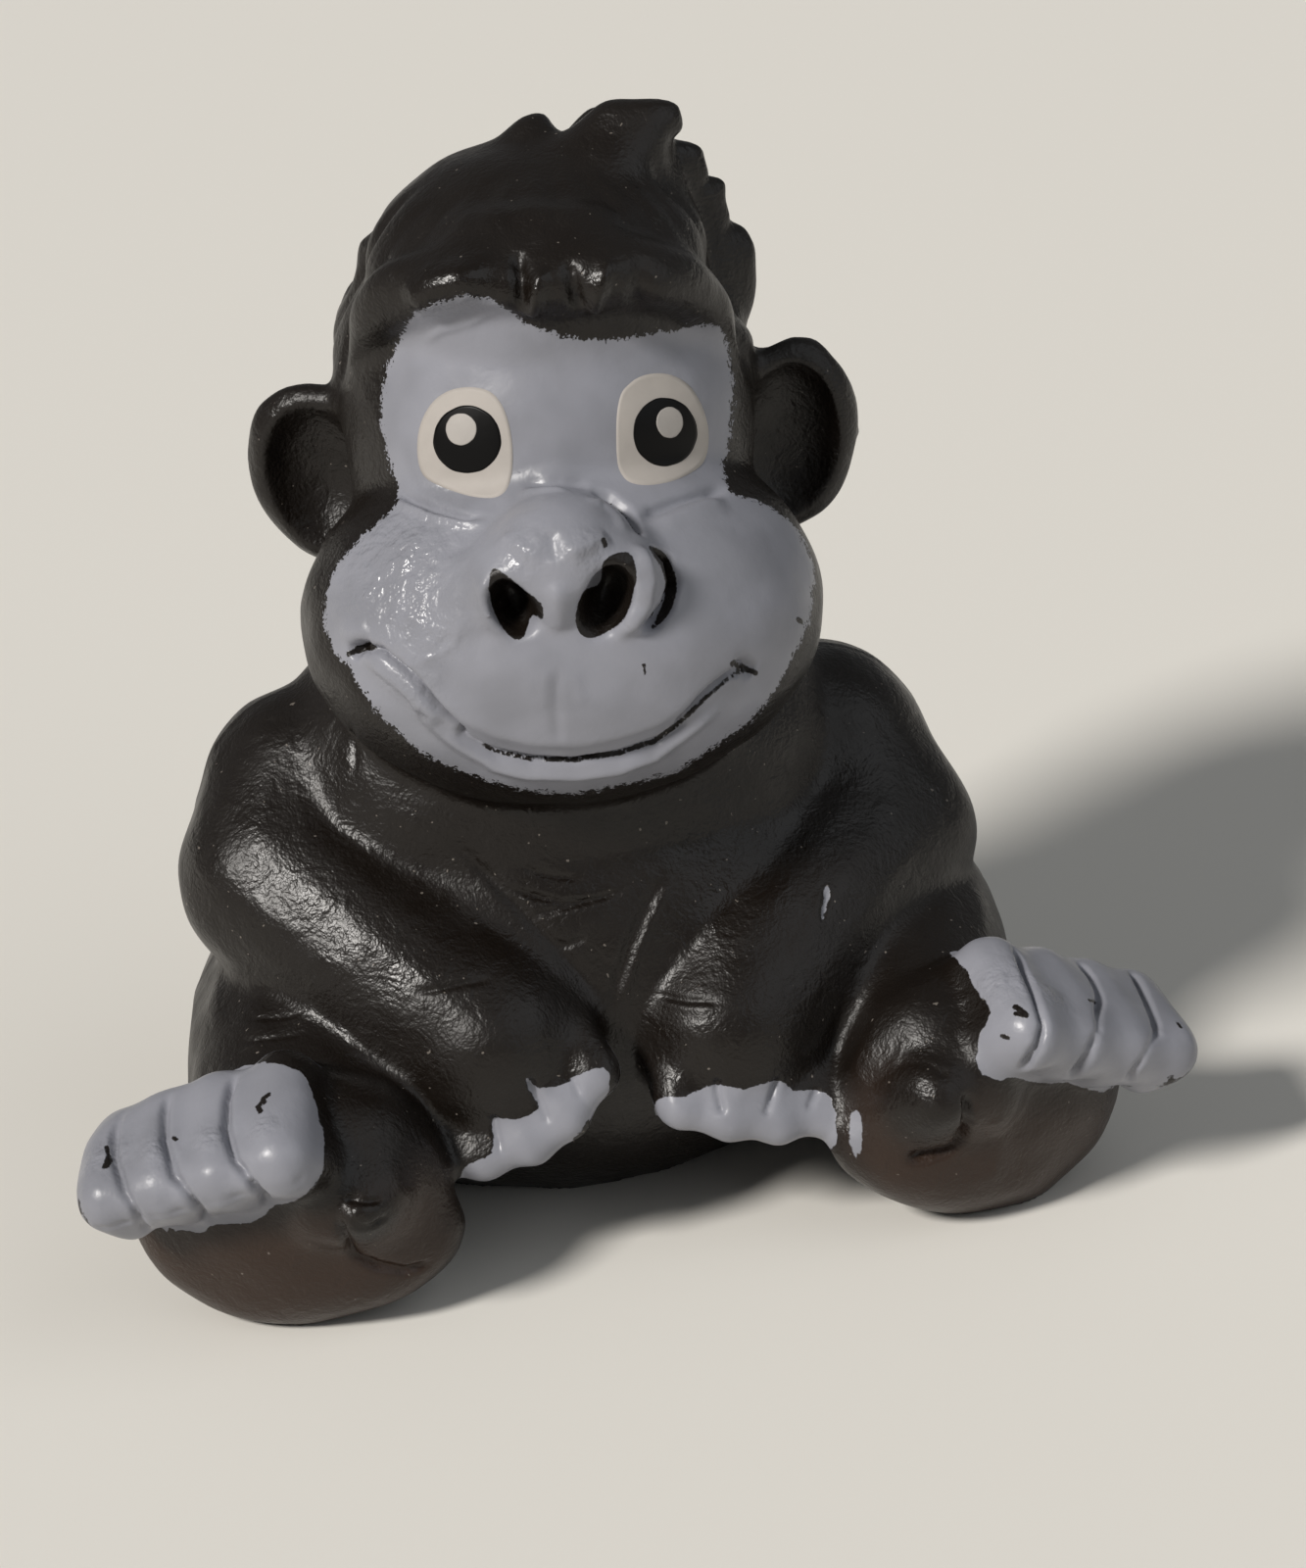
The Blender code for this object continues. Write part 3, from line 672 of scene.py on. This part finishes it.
def smoothLoop(points, per=5):
    # Catmull-Rom curve through a closed outline
    points = np.array(points, float)
    p0, p1, p2, p3 = (np.roll(points, k, 0)[:, None, :] for k in (1, 0, -1, -2))
    s = np.arange(per)[None, :, None] / per
    curve = 0.5 * (2 * p1 + (p2 - p0) * s + (2 * p0 - 5 * p1 + 4 * p2 - p3) * s ** 2
                   + (3 * p1 - p0 - 3 * p2 + p3) * s ** 3)
    return curve.reshape(-1, 2)


# outlines of the paint, of where it didn't reach, and of painted shade in the crease beside the nose's left wing
paint = {
    "face": [
        (532, 327), (516, 313), (498, 305), (466, 303), (439, 313), (419, 325), (405, 352), (394, 384),
        (390, 413), (391, 443), (398, 478), (408, 505), (393, 527), (371, 546), (347, 573), (335, 600),
        (331, 630), (337, 656), (358, 683), (381, 721), (408, 748), (442, 774), (488, 793), (537, 806),
        (586, 810), (632, 801), (685, 789), (716, 770), (765, 736), (792, 702), (818, 652), (829, 614),
        (829, 576), (814, 542), (784, 517), (748, 504), (738, 480), (744, 454), (746, 428), (748, 401),
        (744, 366), (737, 338), (722, 331), (697, 335), (653, 343), (624, 347), (589, 345), (559, 338),
    ],
    "nostrilRight": [
        (503, 580), (522, 591), (534, 601), (552, 616), (554, 632), (543, 628), (534, 650), (521, 650),
        (507, 630), (499, 603),
    ],
    "nostrilLeft": [
        (617, 572), (640, 563), (649, 580), (647, 603), (636, 633), (605, 651), (590, 644), (588, 625),
        (596, 603), (612, 595),
    ],
    "toesRight": [
        (185, 1090), (240, 1085), (277, 1085), (307, 1094), (320, 1120), (329, 1150), (331, 1180), (326, 1203),
        (303, 1225), (280, 1231), (261, 1246), (240, 1250), (221, 1249), (202, 1261), (177, 1263), (156, 1259),
        (139, 1266), (114, 1266), (90, 1247), (74, 1199), (74, 1174), (84, 1145), (114, 1118), (150, 1100),
    ],
    "toesLeft": [
        (966, 968), (988, 952), (1020, 950), (1052, 949), (1096, 958), (1124, 968), (1160, 982), (1204, 996),
        (1226, 1024), (1222, 1054), (1204, 1088), (1178, 1108), (1150, 1108), (1120, 1114), (1090, 1104),
        (1064, 1106), (1036, 1100), (1016, 1102), (998, 1090), (998, 1064), (1004, 1048), (1012, 1040),
        (1008, 1026), (996, 1010), (984, 986),
    ],
    "tipsRight": [
        (484, 1184), (502, 1178), (503, 1160), (503, 1141), (525, 1143), (549, 1131), (540, 1112), (537, 1100),
        (551, 1110), (581, 1105), (582, 1099), (616, 1090), (622, 1110), (604, 1140), (557, 1192), (513, 1216),
        (478, 1222), (470, 1200),
    ],
    "tipsLeft": [
        (679, 1119), (698, 1119), (730, 1106), (745, 1110), (766, 1110), (795, 1102), (810, 1113), (833, 1112),
        (848, 1122), (854, 1148), (846, 1176), (804, 1192), (763, 1184), (719, 1172), (680, 1156), (668, 1130),
    ],
    "wingCreaseShade": [
        (662, 557), (676, 563), (687, 580), (691, 600), (686, 620), (676, 634), (664, 642), (675, 620),
        (679, 600), (676, 582), (668, 568),
    ],
    "nick": [(842, 905), (846, 904), (847, 914), (843, 930), (839, 940), (838, 930), (841, 916)],
    "spill": [(869, 1137), (875, 1133), (881, 1150), (880, 1170), (874, 1181), (868, 1168), (867, 1150)],
}

# marks where the paint is missing or chipped, the first four being painted shade in the dimples at the smile's
# ends: a line of pixels and half its width in mm
chipAndShadeMarks = [
    ([(355, 668), (368, 662)], 0.09), ([(366, 662), (380, 659)], 0.16), ([(748, 677), (760, 682)], 0.12),
    ([(757, 681), (772, 687)], 0.09), ([(616, 551), (618, 556)], 0.09), ([(814, 632), (819, 635)], 0.09),
    ([(657, 678), (658, 688)], 0.05), ([(274, 1117), (268, 1121), (270, 1125)], 0.09),
    ([(268, 1124), (263, 1129), (266, 1134)], 0.10), ([(109, 1170), (112, 1180)], 0.09),
    ([(112, 1182), (108, 1190)], 0.13), ([(177, 1161), (180, 1163)], 0.08),
    ([(1036, 1027), (1042, 1031), (1047, 1036)], 0.11), ([(1036, 1034), (1044, 1036)], 0.09),
    ([(1022, 1057), (1030, 1059)], 0.07), ([(1112, 1021), (1118, 1023)], 0.07),
    ([(1202, 1044), (1205, 1048)], 0.07),
]

# three slow waves, then back inside the solid's own box
waves = [([1.9, 0.7, 1.1], 0.0), ([-0.8, 1.7, 1.5], 1.3), ([0.9, -1.3, 2.1], 4.0)]
wave = sum(np.sin(places @ perMm + start) for perMm, start in waves)
places += normals * (skin["uneven"] * wave)[:, None]
low, high = np.array(cadBox[0]) / mm, np.array(cadBox[1]) / mm
places = np.clip(places, low, high)
places[places[:, 2] < 0.05, 2] = 0.0
setPlaces(clay, places)

# the skin stays finest along the edges of the paint
onHead = inHead(places)
index = np.nonzero((onHead[:, 1] < head["front"]) & (onHead[:, 2] > head["chin"]) & (normals @ camBack > 0))[0]
for name, reach in (("face", 0.22), ("nostrilRight", 0.25), ("nostrilLeft", 0.25)):
    edge = insideBy(toPixels(places[index]), smoothLoop(paint[name]))
    fine[index[np.abs(edge) < reach]] = 1.0
for mark, wide in chipAndShadeMarks:
    fine[awayFrom(places, traced(mark))[0] < wide + 0.2] = 1.0
plain = figure.vertex_groups.new(name="plain")
plain.add(np.nonzero(fine == 0)[0].tolist(), 1.0, "REPLACE")
thin = figure.modifiers.new("thin", "DECIMATE")
thin.vertex_group = "plain"
thin.vertex_group_factor = 0.01
thin.ratio = skin["triangles"] / len(trianglesOf(clay))
clay = baked(figure)
figure.vertex_groups.clear()
clay.polygons.foreach_set("use_smooth", np.ones(len(clay.polygons), bool))
places, normals = placesOf(clay), normalsOf(clay)
print("skin sculpted", len(trianglesOf(clay)))


# each coat is kept as an attribute: distance in mm from its edge, minus inside it, and far where there is none
far = 5.0
squarely = 0.1  # cosine to the line of sight above which a traced outline holds
surface = BVHTree.FromPolygons([Vector(v) for v in places], [list(t) for t in trianglesOf(clay)])
view = camPlace - places
view /= np.linalg.norm(view, axis=1)[:, None]
facing = (normals * view).sum(1)
pixels = toPixels(places)
onHead = inHead(places)
frontOfHead = (onHead[:, 1] < head["front"]) & (onHead[:, 2] > head["chin"]) & (facing > -0.25)


def behindBy(index):
    # how far in mm each point lies behind the first skin that its own line of sight meets
    deep = []
    for point in places[index]:
        ray = Vector(point - camPlace)
        hit = surface.ray_cast(Vector(camPlace), ray.normalized())[0]
        deep.append(ray.length - (hit - Vector(camPlace)).length if hit is not None else 0.0)
    return np.array(deep)


facePaint = np.full(len(places), far)
index = np.nonzero(frontOfHead)[0]
facePaint[index] = insideBy(pixels[index], smoothLoop(paint["face"]))
index = np.nonzero(facePaint < 0.5)[0]
facePaint[index[behindBy(index) > 0.7]] = far   # the neck behind the jaw stays black

# black where the spray gun didn't reach, in the nostrils and chips, and painted shade: a dark line along the
# smile, but for the third of it on the picture's left, in its dimples and in the crease by the nose's left wing
bareAndPaintedShade = np.full(len(places), far)
index = np.nonzero(frontOfHead)[0]
gap, along = awayFrom(pixels[index], np.array(smilePixels, float))
# half width in mm of the painted shade line along the smile, none on its left third
smileShadeWide = np.interp(along, (0.0, 0.31, 0.35, 0.60, 0.85, 0.97, 1.0), (-0.14, -0.14, 0.07, 0.11, 0.08, 0.06, 0.03))
bareAndPaintedShade[index] = gap / camera["pixelsPerMm"] - smileShadeWide
for name in ("nostrilRight", "nostrilLeft", "wingCreaseShade"):
    bareAndPaintedShade[index] = np.minimum(bareAndPaintedShade[index], insideBy(pixels[index], smoothLoop(paint[name])))
for mark, wide in chipAndShadeMarks:
    bareAndPaintedShade = np.minimum(bareAndPaintedShade, awayFrom(places, traced(mark))[0] - wide)

# wet looking paint, and plastic rubbed to a shine: pixel, radius in mm, amount
shiny = [
    ((410, 560), 2.0, 1.0), ((420, 610), 1.8, 1.0), ((380, 600), 1.4, 0.8), ((440, 640), 1.2, 0.7),
    ((425, 700), 1.0, 0.6), ((530, 562), 0.9, 0.6), ((600, 560), 0.8, 0.5), ((388, 560), 1.6, 1.0),
    ((402, 700), 0.8, 0.4), ((1040, 1000), 1.2, 0.6), ((110, 1180), 0.9, 0.8), ((165, 1180), 0.7, 0.6),
    ((436, 294), 1.3, 1.0), ((468, 284), 1.2, 1.0), ((546, 304), 0.6, 0.9), ((614, 290), 0.7, 0.9),
    ((300, 890), 2.2, 0.30), ((350, 950), 2.2, 0.35), ((390, 1000), 1.6, 0.25), ((252, 835), 1.4, 0.2),
    ((750, 905), 1.9, 1.0), ((725, 945), 1.4, 0.6), ((267, 1149), 0.5, 0.9), ((215, 1162), 0.5, 0.9),
    ((158, 1174), 0.5, 0.9), ((1014, 1004), 0.8, 1.0), ((1072, 1014), 0.5, 0.9), ((369, 1236), 0.5, 1.0),
    ((928, 1128), 0.8, 1.0), ((319, 536), 0.8, 0.9),
]
wet = np.zeros(len(places))
for spot, wide, amount in shiny:
    wet = np.maximum(wet, amount * np.exp(-(np.linalg.norm(places - seenAt(spot), axis=1) / wide) ** 2))

# fingertips and toes: the traced outline where the camera sees them, and the distance to their axes behind
tipPaint = np.full(len(places), far)
for side, name in ((-1, "tipsRight"), (1, "tipsLeft")):
    tips = np.array([line[1] for line, thick in fingerLines(side)])
    gap = np.min(np.linalg.norm(places[:, None, :] - tips[None], axis=2), axis=1)
    index = np.nonzero(gap < hand["paintReach"])[0]
    seen = insideBy(pixels[index], smoothLoop(paint[name], 3))
    hidden = gap[index] - hand["thick"] * 0.62
    tipPaint[index] = np.minimum(tipPaint[index], np.where(facing[index] > squarely, seen, hidden))
    toes = toeLines(side)
    middle = np.mean([line[1] for line, thick in toes], axis=0)
    index = np.nonzero(np.linalg.norm(places - middle, axis=1) < foot["paintReach"])[0]
    hidden = np.full(len(index), far)
    for line, thick in toes:
        hidden = np.minimum(hidden, awayFrom(places[index], line)[0] - thick * 0.5 - 0.12)
    seen = insideBy(pixels[index], smoothLoop(paint["toesRight" if side < 0 else "toesLeft"], 3))
    outer = np.min([awayFrom(places[index], line)[0] - thick * 0.5 + 0.08 for line, thick in toes[1:]], axis=0)
    shown = np.where((facing[index] > squarely) & (hidden < 0.8), np.minimum(seen, outer), hidden)
    tipPaint[index] = np.minimum(tipPaint[index], shown)

for name in ("spill", "nick"):
    outline = smoothLoop(paint[name], 3)
    index = np.nonzero((np.linalg.norm(places - seenAt(outline.mean(0)), axis=1) < 2.5) & (facing > 0.02))[0]
    tipPaint[index] = np.minimum(tipPaint[index], insideBy(pixels[index], outline))

# painted glow of light through the thin plastic of the soles, laid on as brown: inside an ellipse in each foot's
# frame, on its front and below its top
paintedSoleGlow = np.zeros(len(places))
for side in (-1, 1):
    inFoot = (places - footMatrix(side)[:3, 3]) @ footMatrix(side)[:3, :3]
    edge = np.linalg.norm(inFoot[:, [0, 2]] / foot["soleRadii"], axis=1)
    front = np.clip((0.5 - inFoot[:, 1]) / 2.0, 0, 1) * np.clip(inFoot[:, 1] + 5.0, 0, 1)
    below = np.clip((1.5 - inFoot[:, 2]) / 2.0, 0, 1)
    paintedSoleGlow = np.maximum(paintedSoleGlow, np.clip((1.25 - edge) / 0.2, 0, 1) * front * below)

# the painted glow is taken off the big toes
for toe in bigToes:  # but the big toes are as dark as the feet's tops
    paintedSoleGlow *= 1 - np.exp(-(np.linalg.norm(places - seenAt(toe["lobe"]), axis=1) / toe["dark"]) ** 4)

coats = {"facePaint": facePaint, "bareAndPaintedShade": bareAndPaintedShade, "tipPaint": tipPaint, "paintedSoleGlow": paintedSoleGlow, "wet": wet}
for name, values in coats.items():
    clay.attributes.new(name, "FLOAT", "POINT").data.foreach_set("value", values.astype(np.float32))
print("paint laid out")


# pad-printed eyes, each colour a thin film on the skin
eyes = {
    "white": [
        [(480, 395), (499, 399), (511, 411), (519, 431), (523, 455), (523, 478), (520, 493), (514, 503),
         (503, 508), (484, 507), (465, 502), (447, 495), (434, 487), (428, 475), (426, 457), (428, 438),
         (434, 422), (444, 408), (460, 398)],
        [(668, 381), (652, 385), (641, 393), (634, 402), (630, 420), (629, 443), (630, 470), (634, 483),
         (643, 492), (662, 495), (689, 490), (712, 478), (721, 464), (723, 440), (717, 416), (704, 394),
         (686, 383)],
    ],
    "pupil": [((477, 448.5), 34.5, 34.5), ((678.5, 441), 32.5, 35.0)],
    "glint": [((471, 438), 15.5, 16.2), ((683, 431), 13.4, 15.8)],
    "film": 0.012,  # mm that each coat stands over the one below, about the real ink
}


def film(name, outlines, lift):
    # rings from the middle of each outline to its edge, laid on the skin and lifted, and a rim turned down
    verts, quads, fans = [], [], []
    around, rings = 72, 14
    for outline in outlines:
        middle = outline.mean(0)
        closed = np.vstack([outline, outline[:1]])
        where = np.linspace(0, len(outline), around, endpoint=False)
        loop = np.stack([np.interp(where, np.arange(len(closed)), closed[:, k]) for k in (0, 1)], 1)
        start = len(verts)
        for r in range(1, rings + 1):
            for p in middle + (loop - middle) * (r / rings):
                verts.append(onSkin(p, lift))
        for p in middle + (loop - middle) * 1.004:
            verts.append(onSkin(p, -0.05))
        verts.append(onSkin(middle, lift))
        centre = len(verts) - 1
        for r in range(rings):
            for k in range(around):
                a, b = start + r * around + k, start + r * around + (k + 1) % around
                quads.append((a, a + around, b + around, b))
        fans += [(centre, start + k, start + (k + 1) % around) for k in range(around)]
    return newObject(name, verts, quads + fans)


def onSkin(pixel, lift):
    # the place seen at a pixel, lifted in mm along the skin's way out
    hit, normal = surface.ray_cast(Vector(camPlace), sightThrough(pixel))[:2]
    return np.array(hit) + np.array(normal) * lift


def oval(middle, rx, ry, rough, seed, around=72):
    # an ellipse in pixels, with a few low waves where the ink has crept
    a = np.linspace(0, 2 * np.pi, around, endpoint=False)
    r = 1 + rough * (np.sin(3 * a + seed) + 0.6 * np.sin(7 * a + 2 * seed) + 0.4 * np.sin(13 * a))
    return np.stack([middle[0] + rx * r * np.cos(a), middle[1] + ry * r * np.sin(a)], 1)


whites = film("eye_whites", [smoothLoop(o, 4) for o in eyes["white"]], eyes["film"])
pupils = film("eye_pupils", [oval(*p, 0.008, k) for k, p in enumerate(eyes["pupil"])], eyes["film"] * 2)
glints = film("eye_glints", [oval(*p, 0.010, k + 2) for k, p in enumerate(eyes["glint"])], eyes["film"] * 3)
print("eyes printed")


def colour(hexValue):
    # sRGB hex to linear: a power of 2.4, straight near black
    c = [int(hexValue[i:i + 2], 16) / 255 for i in (1, 3, 5)]
    return (*[x / 12.92 if x <= 0.04045 else ((x + 0.055) / 1.055) ** 2.4 for x in c], 1.0)


def addNode(tree, kind, settings=None, **inputs):
    # a node with its settings; its sockets, named or as i and a number, get a value or a link
    node = tree.nodes.new(kind)
    for key, value in (settings or {}).items():
        setattr(node, key, value)
    for key, value in inputs.items():
        numbered = key[0] == "i" and key[1:].isdigit()
        socket = node.inputs[int(key[1:]) if numbered else key.replace("_", " ")]
        if isinstance(value, bpy.types.NodeSocket):
            tree.links.new(value, socket)
        else:
            socket.default_value = value
    return node


def mixed(tree, share, a, b):
    # colour a where the share is 0 and b where it is 1
    return addNode(tree, "ShaderNodeMix", {"data_type": "RGBA"}, i0=share, i6=a, i7=b).outputs[2]


def newMaterial(name):
    # a material with its node tree and shader
    material = bpy.data.materials.new(name)
    material.use_nodes = True
    return material, material.node_tree, material.node_tree.nodes["Principled BSDF"]


# soft PVC, near black and leathery, browned at the soles by a painted glow of light through the thin plastic, and
# satin vinyl paint sprayed over it through a mask:
# bluish grey, smoother, stippled at its edge, wet looking where it lies thick, and chipped down to the black, with
# painted shade along the smile, in its dimples and in a crease by the nose
pvc = {
    "black": "#130e0a",
    "paintedGlowBrown": "#2e2119",
    # the brown of the painted glow of light through the soles
    "dust": "#8a827a",
    "paint": "#898a92",
    "paintWorn": "#7e7f86",
    "leather": 0.75,  # mm across one wrinkle
    "grit": 0.14,
    "edgeFuzz": 0.55,  # mm that the paint's edge wanders
    "sprayFuzz": 0.42,  # mm that the dots of spray stray
    "chipFuzz": 0.07,
    "stipple": 0.10,  # mm across one dot of spray, coarser than the real mist so that it shows
    "relief": 0.00008,  # metres
    "gloss": 0.34,  # the fine grit spoils some of it
    "ior": 1.53,
}


def skinMaterial():
    # paint over plastic where its distance, roughened by noise, is below 0
    material, tree, shader = newMaterial("moulded_pvc_with_sprayed_vinyl_paint")
    place = addNode(tree, "ShaderNodeTexCoord").outputs["Object"]

    # sizes of noise are in mm
    def noise(size, detail=2.0, rough=0.5, distort=0.0, kind="FBM"):
        return addNode(tree, "ShaderNodeTexNoise", {"noise_type": kind}, Vector=place, Scale=1000 / size,
                       Detail=detail, Roughness=rough, Distortion=distort).outputs["Fac"]

    def maths(kind, a, b, clamp=False):
        return addNode(tree, "ShaderNodeMath", {"operation": kind, "use_clamp": clamp}, i0=a, i1=b).outputs[0]

    def plus(a, b):
        return maths("ADD", a, b)

    def minus(a, b):
        return maths("SUBTRACT", a, b)

    def times(a, b):
        return maths("MULTIPLY", a, b)

    def ramp(value, low, high, toLow=0.0, toHigh=1.0):
        return addNode(tree, "ShaderNodeMapRange", {"interpolation_type": "SMOOTHSTEP"}, Value=value,
                       From_Min=low, From_Max=high, To_Min=toLow, To_Max=toHigh).outputs[0]

    def attribute(name):
        return addNode(tree, "ShaderNodeAttribute", {"attribute_name": name}).outputs["Fac"]

    def coatOf(name, stray, soft):
        # 1 inside the coat's edge and 0 outside it
        return ramp(plus(attribute(name), stray), -soft, soft, 1.0, 0.0)

    drift = minus(noise(0.45, 3.0, 0.6), 0.5)
    dots = minus(noise(pvc["stipple"], 1.0, 0.5), 0.5)
    wander = times(drift, pvc["edgeFuzz"])
    spray = plus(wander, times(dots, pvc["sprayFuzz"]))
    faceCoat = coatOf("facePaint", spray, 0.03)
    crisp = times(drift, pvc["edgeFuzz"] * 0.5)
    tipCoat = coatOf("tipPaint", crisp, 0.02)
    ragged = plus(times(drift, pvc["chipFuzz"]), times(dots, pvc["chipFuzz"]))
    # the black of nostrils and chips, and the painted shade along the smile, in its dimples and in the crease by
    # the nose's wing
    bareAndShade = coatOf("bareAndPaintedShade", ragged, 0.02)
    whole = maths("SUBTRACT", maths("MAXIMUM", faceCoat, tipCoat), bareAndShade, clamp=True)

    # colours
    # the near black turns brown where the painted glow of light through the soles lies
    black = mixed(tree, attribute("paintedSoleGlow"), colour(pvc["black"]), colour(pvc["paintedGlowBrown"]))
    specks = ramp(noise(0.16, 0.0), 0.83, 0.87)
    black = mixed(tree, times(specks, 0.5), black, colour(pvc["dust"]))
    coat = mixed(tree, ramp(noise(2.6), 0.35, 0.7), colour(pvc["paint"]), colour(pvc["paintWorn"]))
    tree.links.new(mixed(tree, whole, black, coat), shader.inputs["Base Color"])

    # shine
    patch = ramp(noise(1.8), 0.3, 0.7, 0.33, 0.45)
    coatShine = ramp(noise(1.2), 0.3, 0.7, 0.30, 0.44)
    rough = plus(times(patch, minus(1.0, whole)), times(coatShine, whole))
    rough = minus(rough, times(attribute("wet"), 0.13))
    tree.links.new(rough, shader.inputs["Roughness"])
    shader.inputs["Specular IOR Level"].default_value = pvc["gloss"]

    # relief: wrinkles and grit in the plastic, ripples in the paint, and the paint's own thickness
    wrinkle = noise(pvc["leather"], 3.0, 0.6, 0.8)
    fold = times(noise(0.55, 2.0, 0.5, 1.2, "RIDGED_MULTIFRACTAL"), 0.18)
    grit = times(noise(pvc["grit"], 1.0, 0.6), 0.35)
    cast = plus(plus(wrinkle, fold), grit)
    plastic = times(cast, minus(1.0, times(whole, 0.85)))
    lumpy = times(attribute("wet"), plus(times(whole, 2.6), 0.6))
    ripple = times(noise(0.42, 2.0, 0.5), plus(lumpy, 0.15))
    height = plus(plus(plastic, ripple), times(whole, 0.35))
    bump = addNode(tree, "ShaderNodeBump", {}, Strength=0.8, Distance=pvc["relief"], Height=height)
    tree.links.new(bump.outputs[0], shader.inputs["Normal"])
    shader.inputs["IOR"].default_value = pvc["ior"]
    return material


def inkMaterial(name, hexValue, rough, gloss):
    # pad-printing ink: a flat, opaque film, more matt than the paint round it
    material, tree, shader = newMaterial(name)
    place = addNode(tree, "ShaderNodeTexCoord").outputs["Object"]
    cloud = addNode(tree, "ShaderNodeTexNoise", {}, Vector=place, Scale=2000, Detail=3.0).outputs["Fac"]
    dark = tuple(x * 0.88 for x in colour(hexValue)[:3]) + (1,)
    tree.links.new(mixed(tree, cloud, colour(hexValue), dark), shader.inputs["Base Color"])
    shader.inputs["Roughness"].default_value = rough
    shader.inputs["IOR"].default_value = 1.5
    shader.inputs["Specular IOR Level"].default_value = gloss
    return material


clay.materials.clear()
clay.materials.append(skinMaterial())
inks = [
    (whites, "pad_printed_ivory_ink", "#aca6a0", 0.60, 0.3),
    (pupils, "pad_printed_black_ink", "#060505", 0.38, 0.16),
    (glints, "pad_printed_pale_grey_ink", "#a8a39e", 0.50, 0.4),
]
for piece, name, hexValue, rough, gloss in inks:
    piece.data.materials.append(inkMaterial(name, hexValue, rough, gloss))

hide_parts("gorilla_figure")
for piece in (figure, whites, pupils, glints):
    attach(piece, "root")
print("materials made")


room = {
    "floor": "#e4e1da",
    "reach": 6000,  # mm from the figure to the floor's edge, so that it fills low views too
    "lamps": {
        "key": {"azimuth": -58, "elevation": 38, "angle": 12, "strength": 3.4, "colour": (1.0, 0.965, 0.92)},
        "fill": {"azimuth": 52, "elevation": 36, "angle": 60, "strength": 0.50, "colour": (0.92, 0.96, 1.0)},
    },
    "sky": ("#e6e8ea", 0.19),
}
r = room["reach"]
floor = newObject("floor", [(-r, -r, 0), (r, -r, 0), (r, r, 0), (-r, r, 0)], [(0, 1, 2, 3)])
floorMaterial, floorTree, floorShader = newMaterial("matt_card")
floorShader.inputs["Base Color"].default_value = colour(room["floor"])
floorShader.inputs["Roughness"].default_value = 0.8
floor.data.materials.append(floorMaterial)

for name, lamp in room["lamps"].items():
    # each lamp is far off, a sun as wide across as its soft box looks from the figure
    data = bpy.data.lights.new(name, "SUN")
    data.angle = math.radians(lamp["angle"])
    data.energy = lamp["strength"]
    data.color = lamp["colour"]
    lampObject = bpy.data.objects.new(name, data)
    toLamp = Vector(towards(lamp["azimuth"], lamp["elevation"]))
    lampObject.rotation_mode = "QUATERNION"
    lampObject.rotation_quaternion = toLamp.to_track_quat("Z", "Y")
    scene.collection.objects.link(lampObject)

world = bpy.data.worlds.new("studio")
scene.world = world
world.use_nodes = True
sky = world.node_tree.nodes["Background"]
sky.inputs["Color"].default_value = colour(room["sky"][0])
sky.inputs["Strength"].default_value = room["sky"][1]

print("scene done")
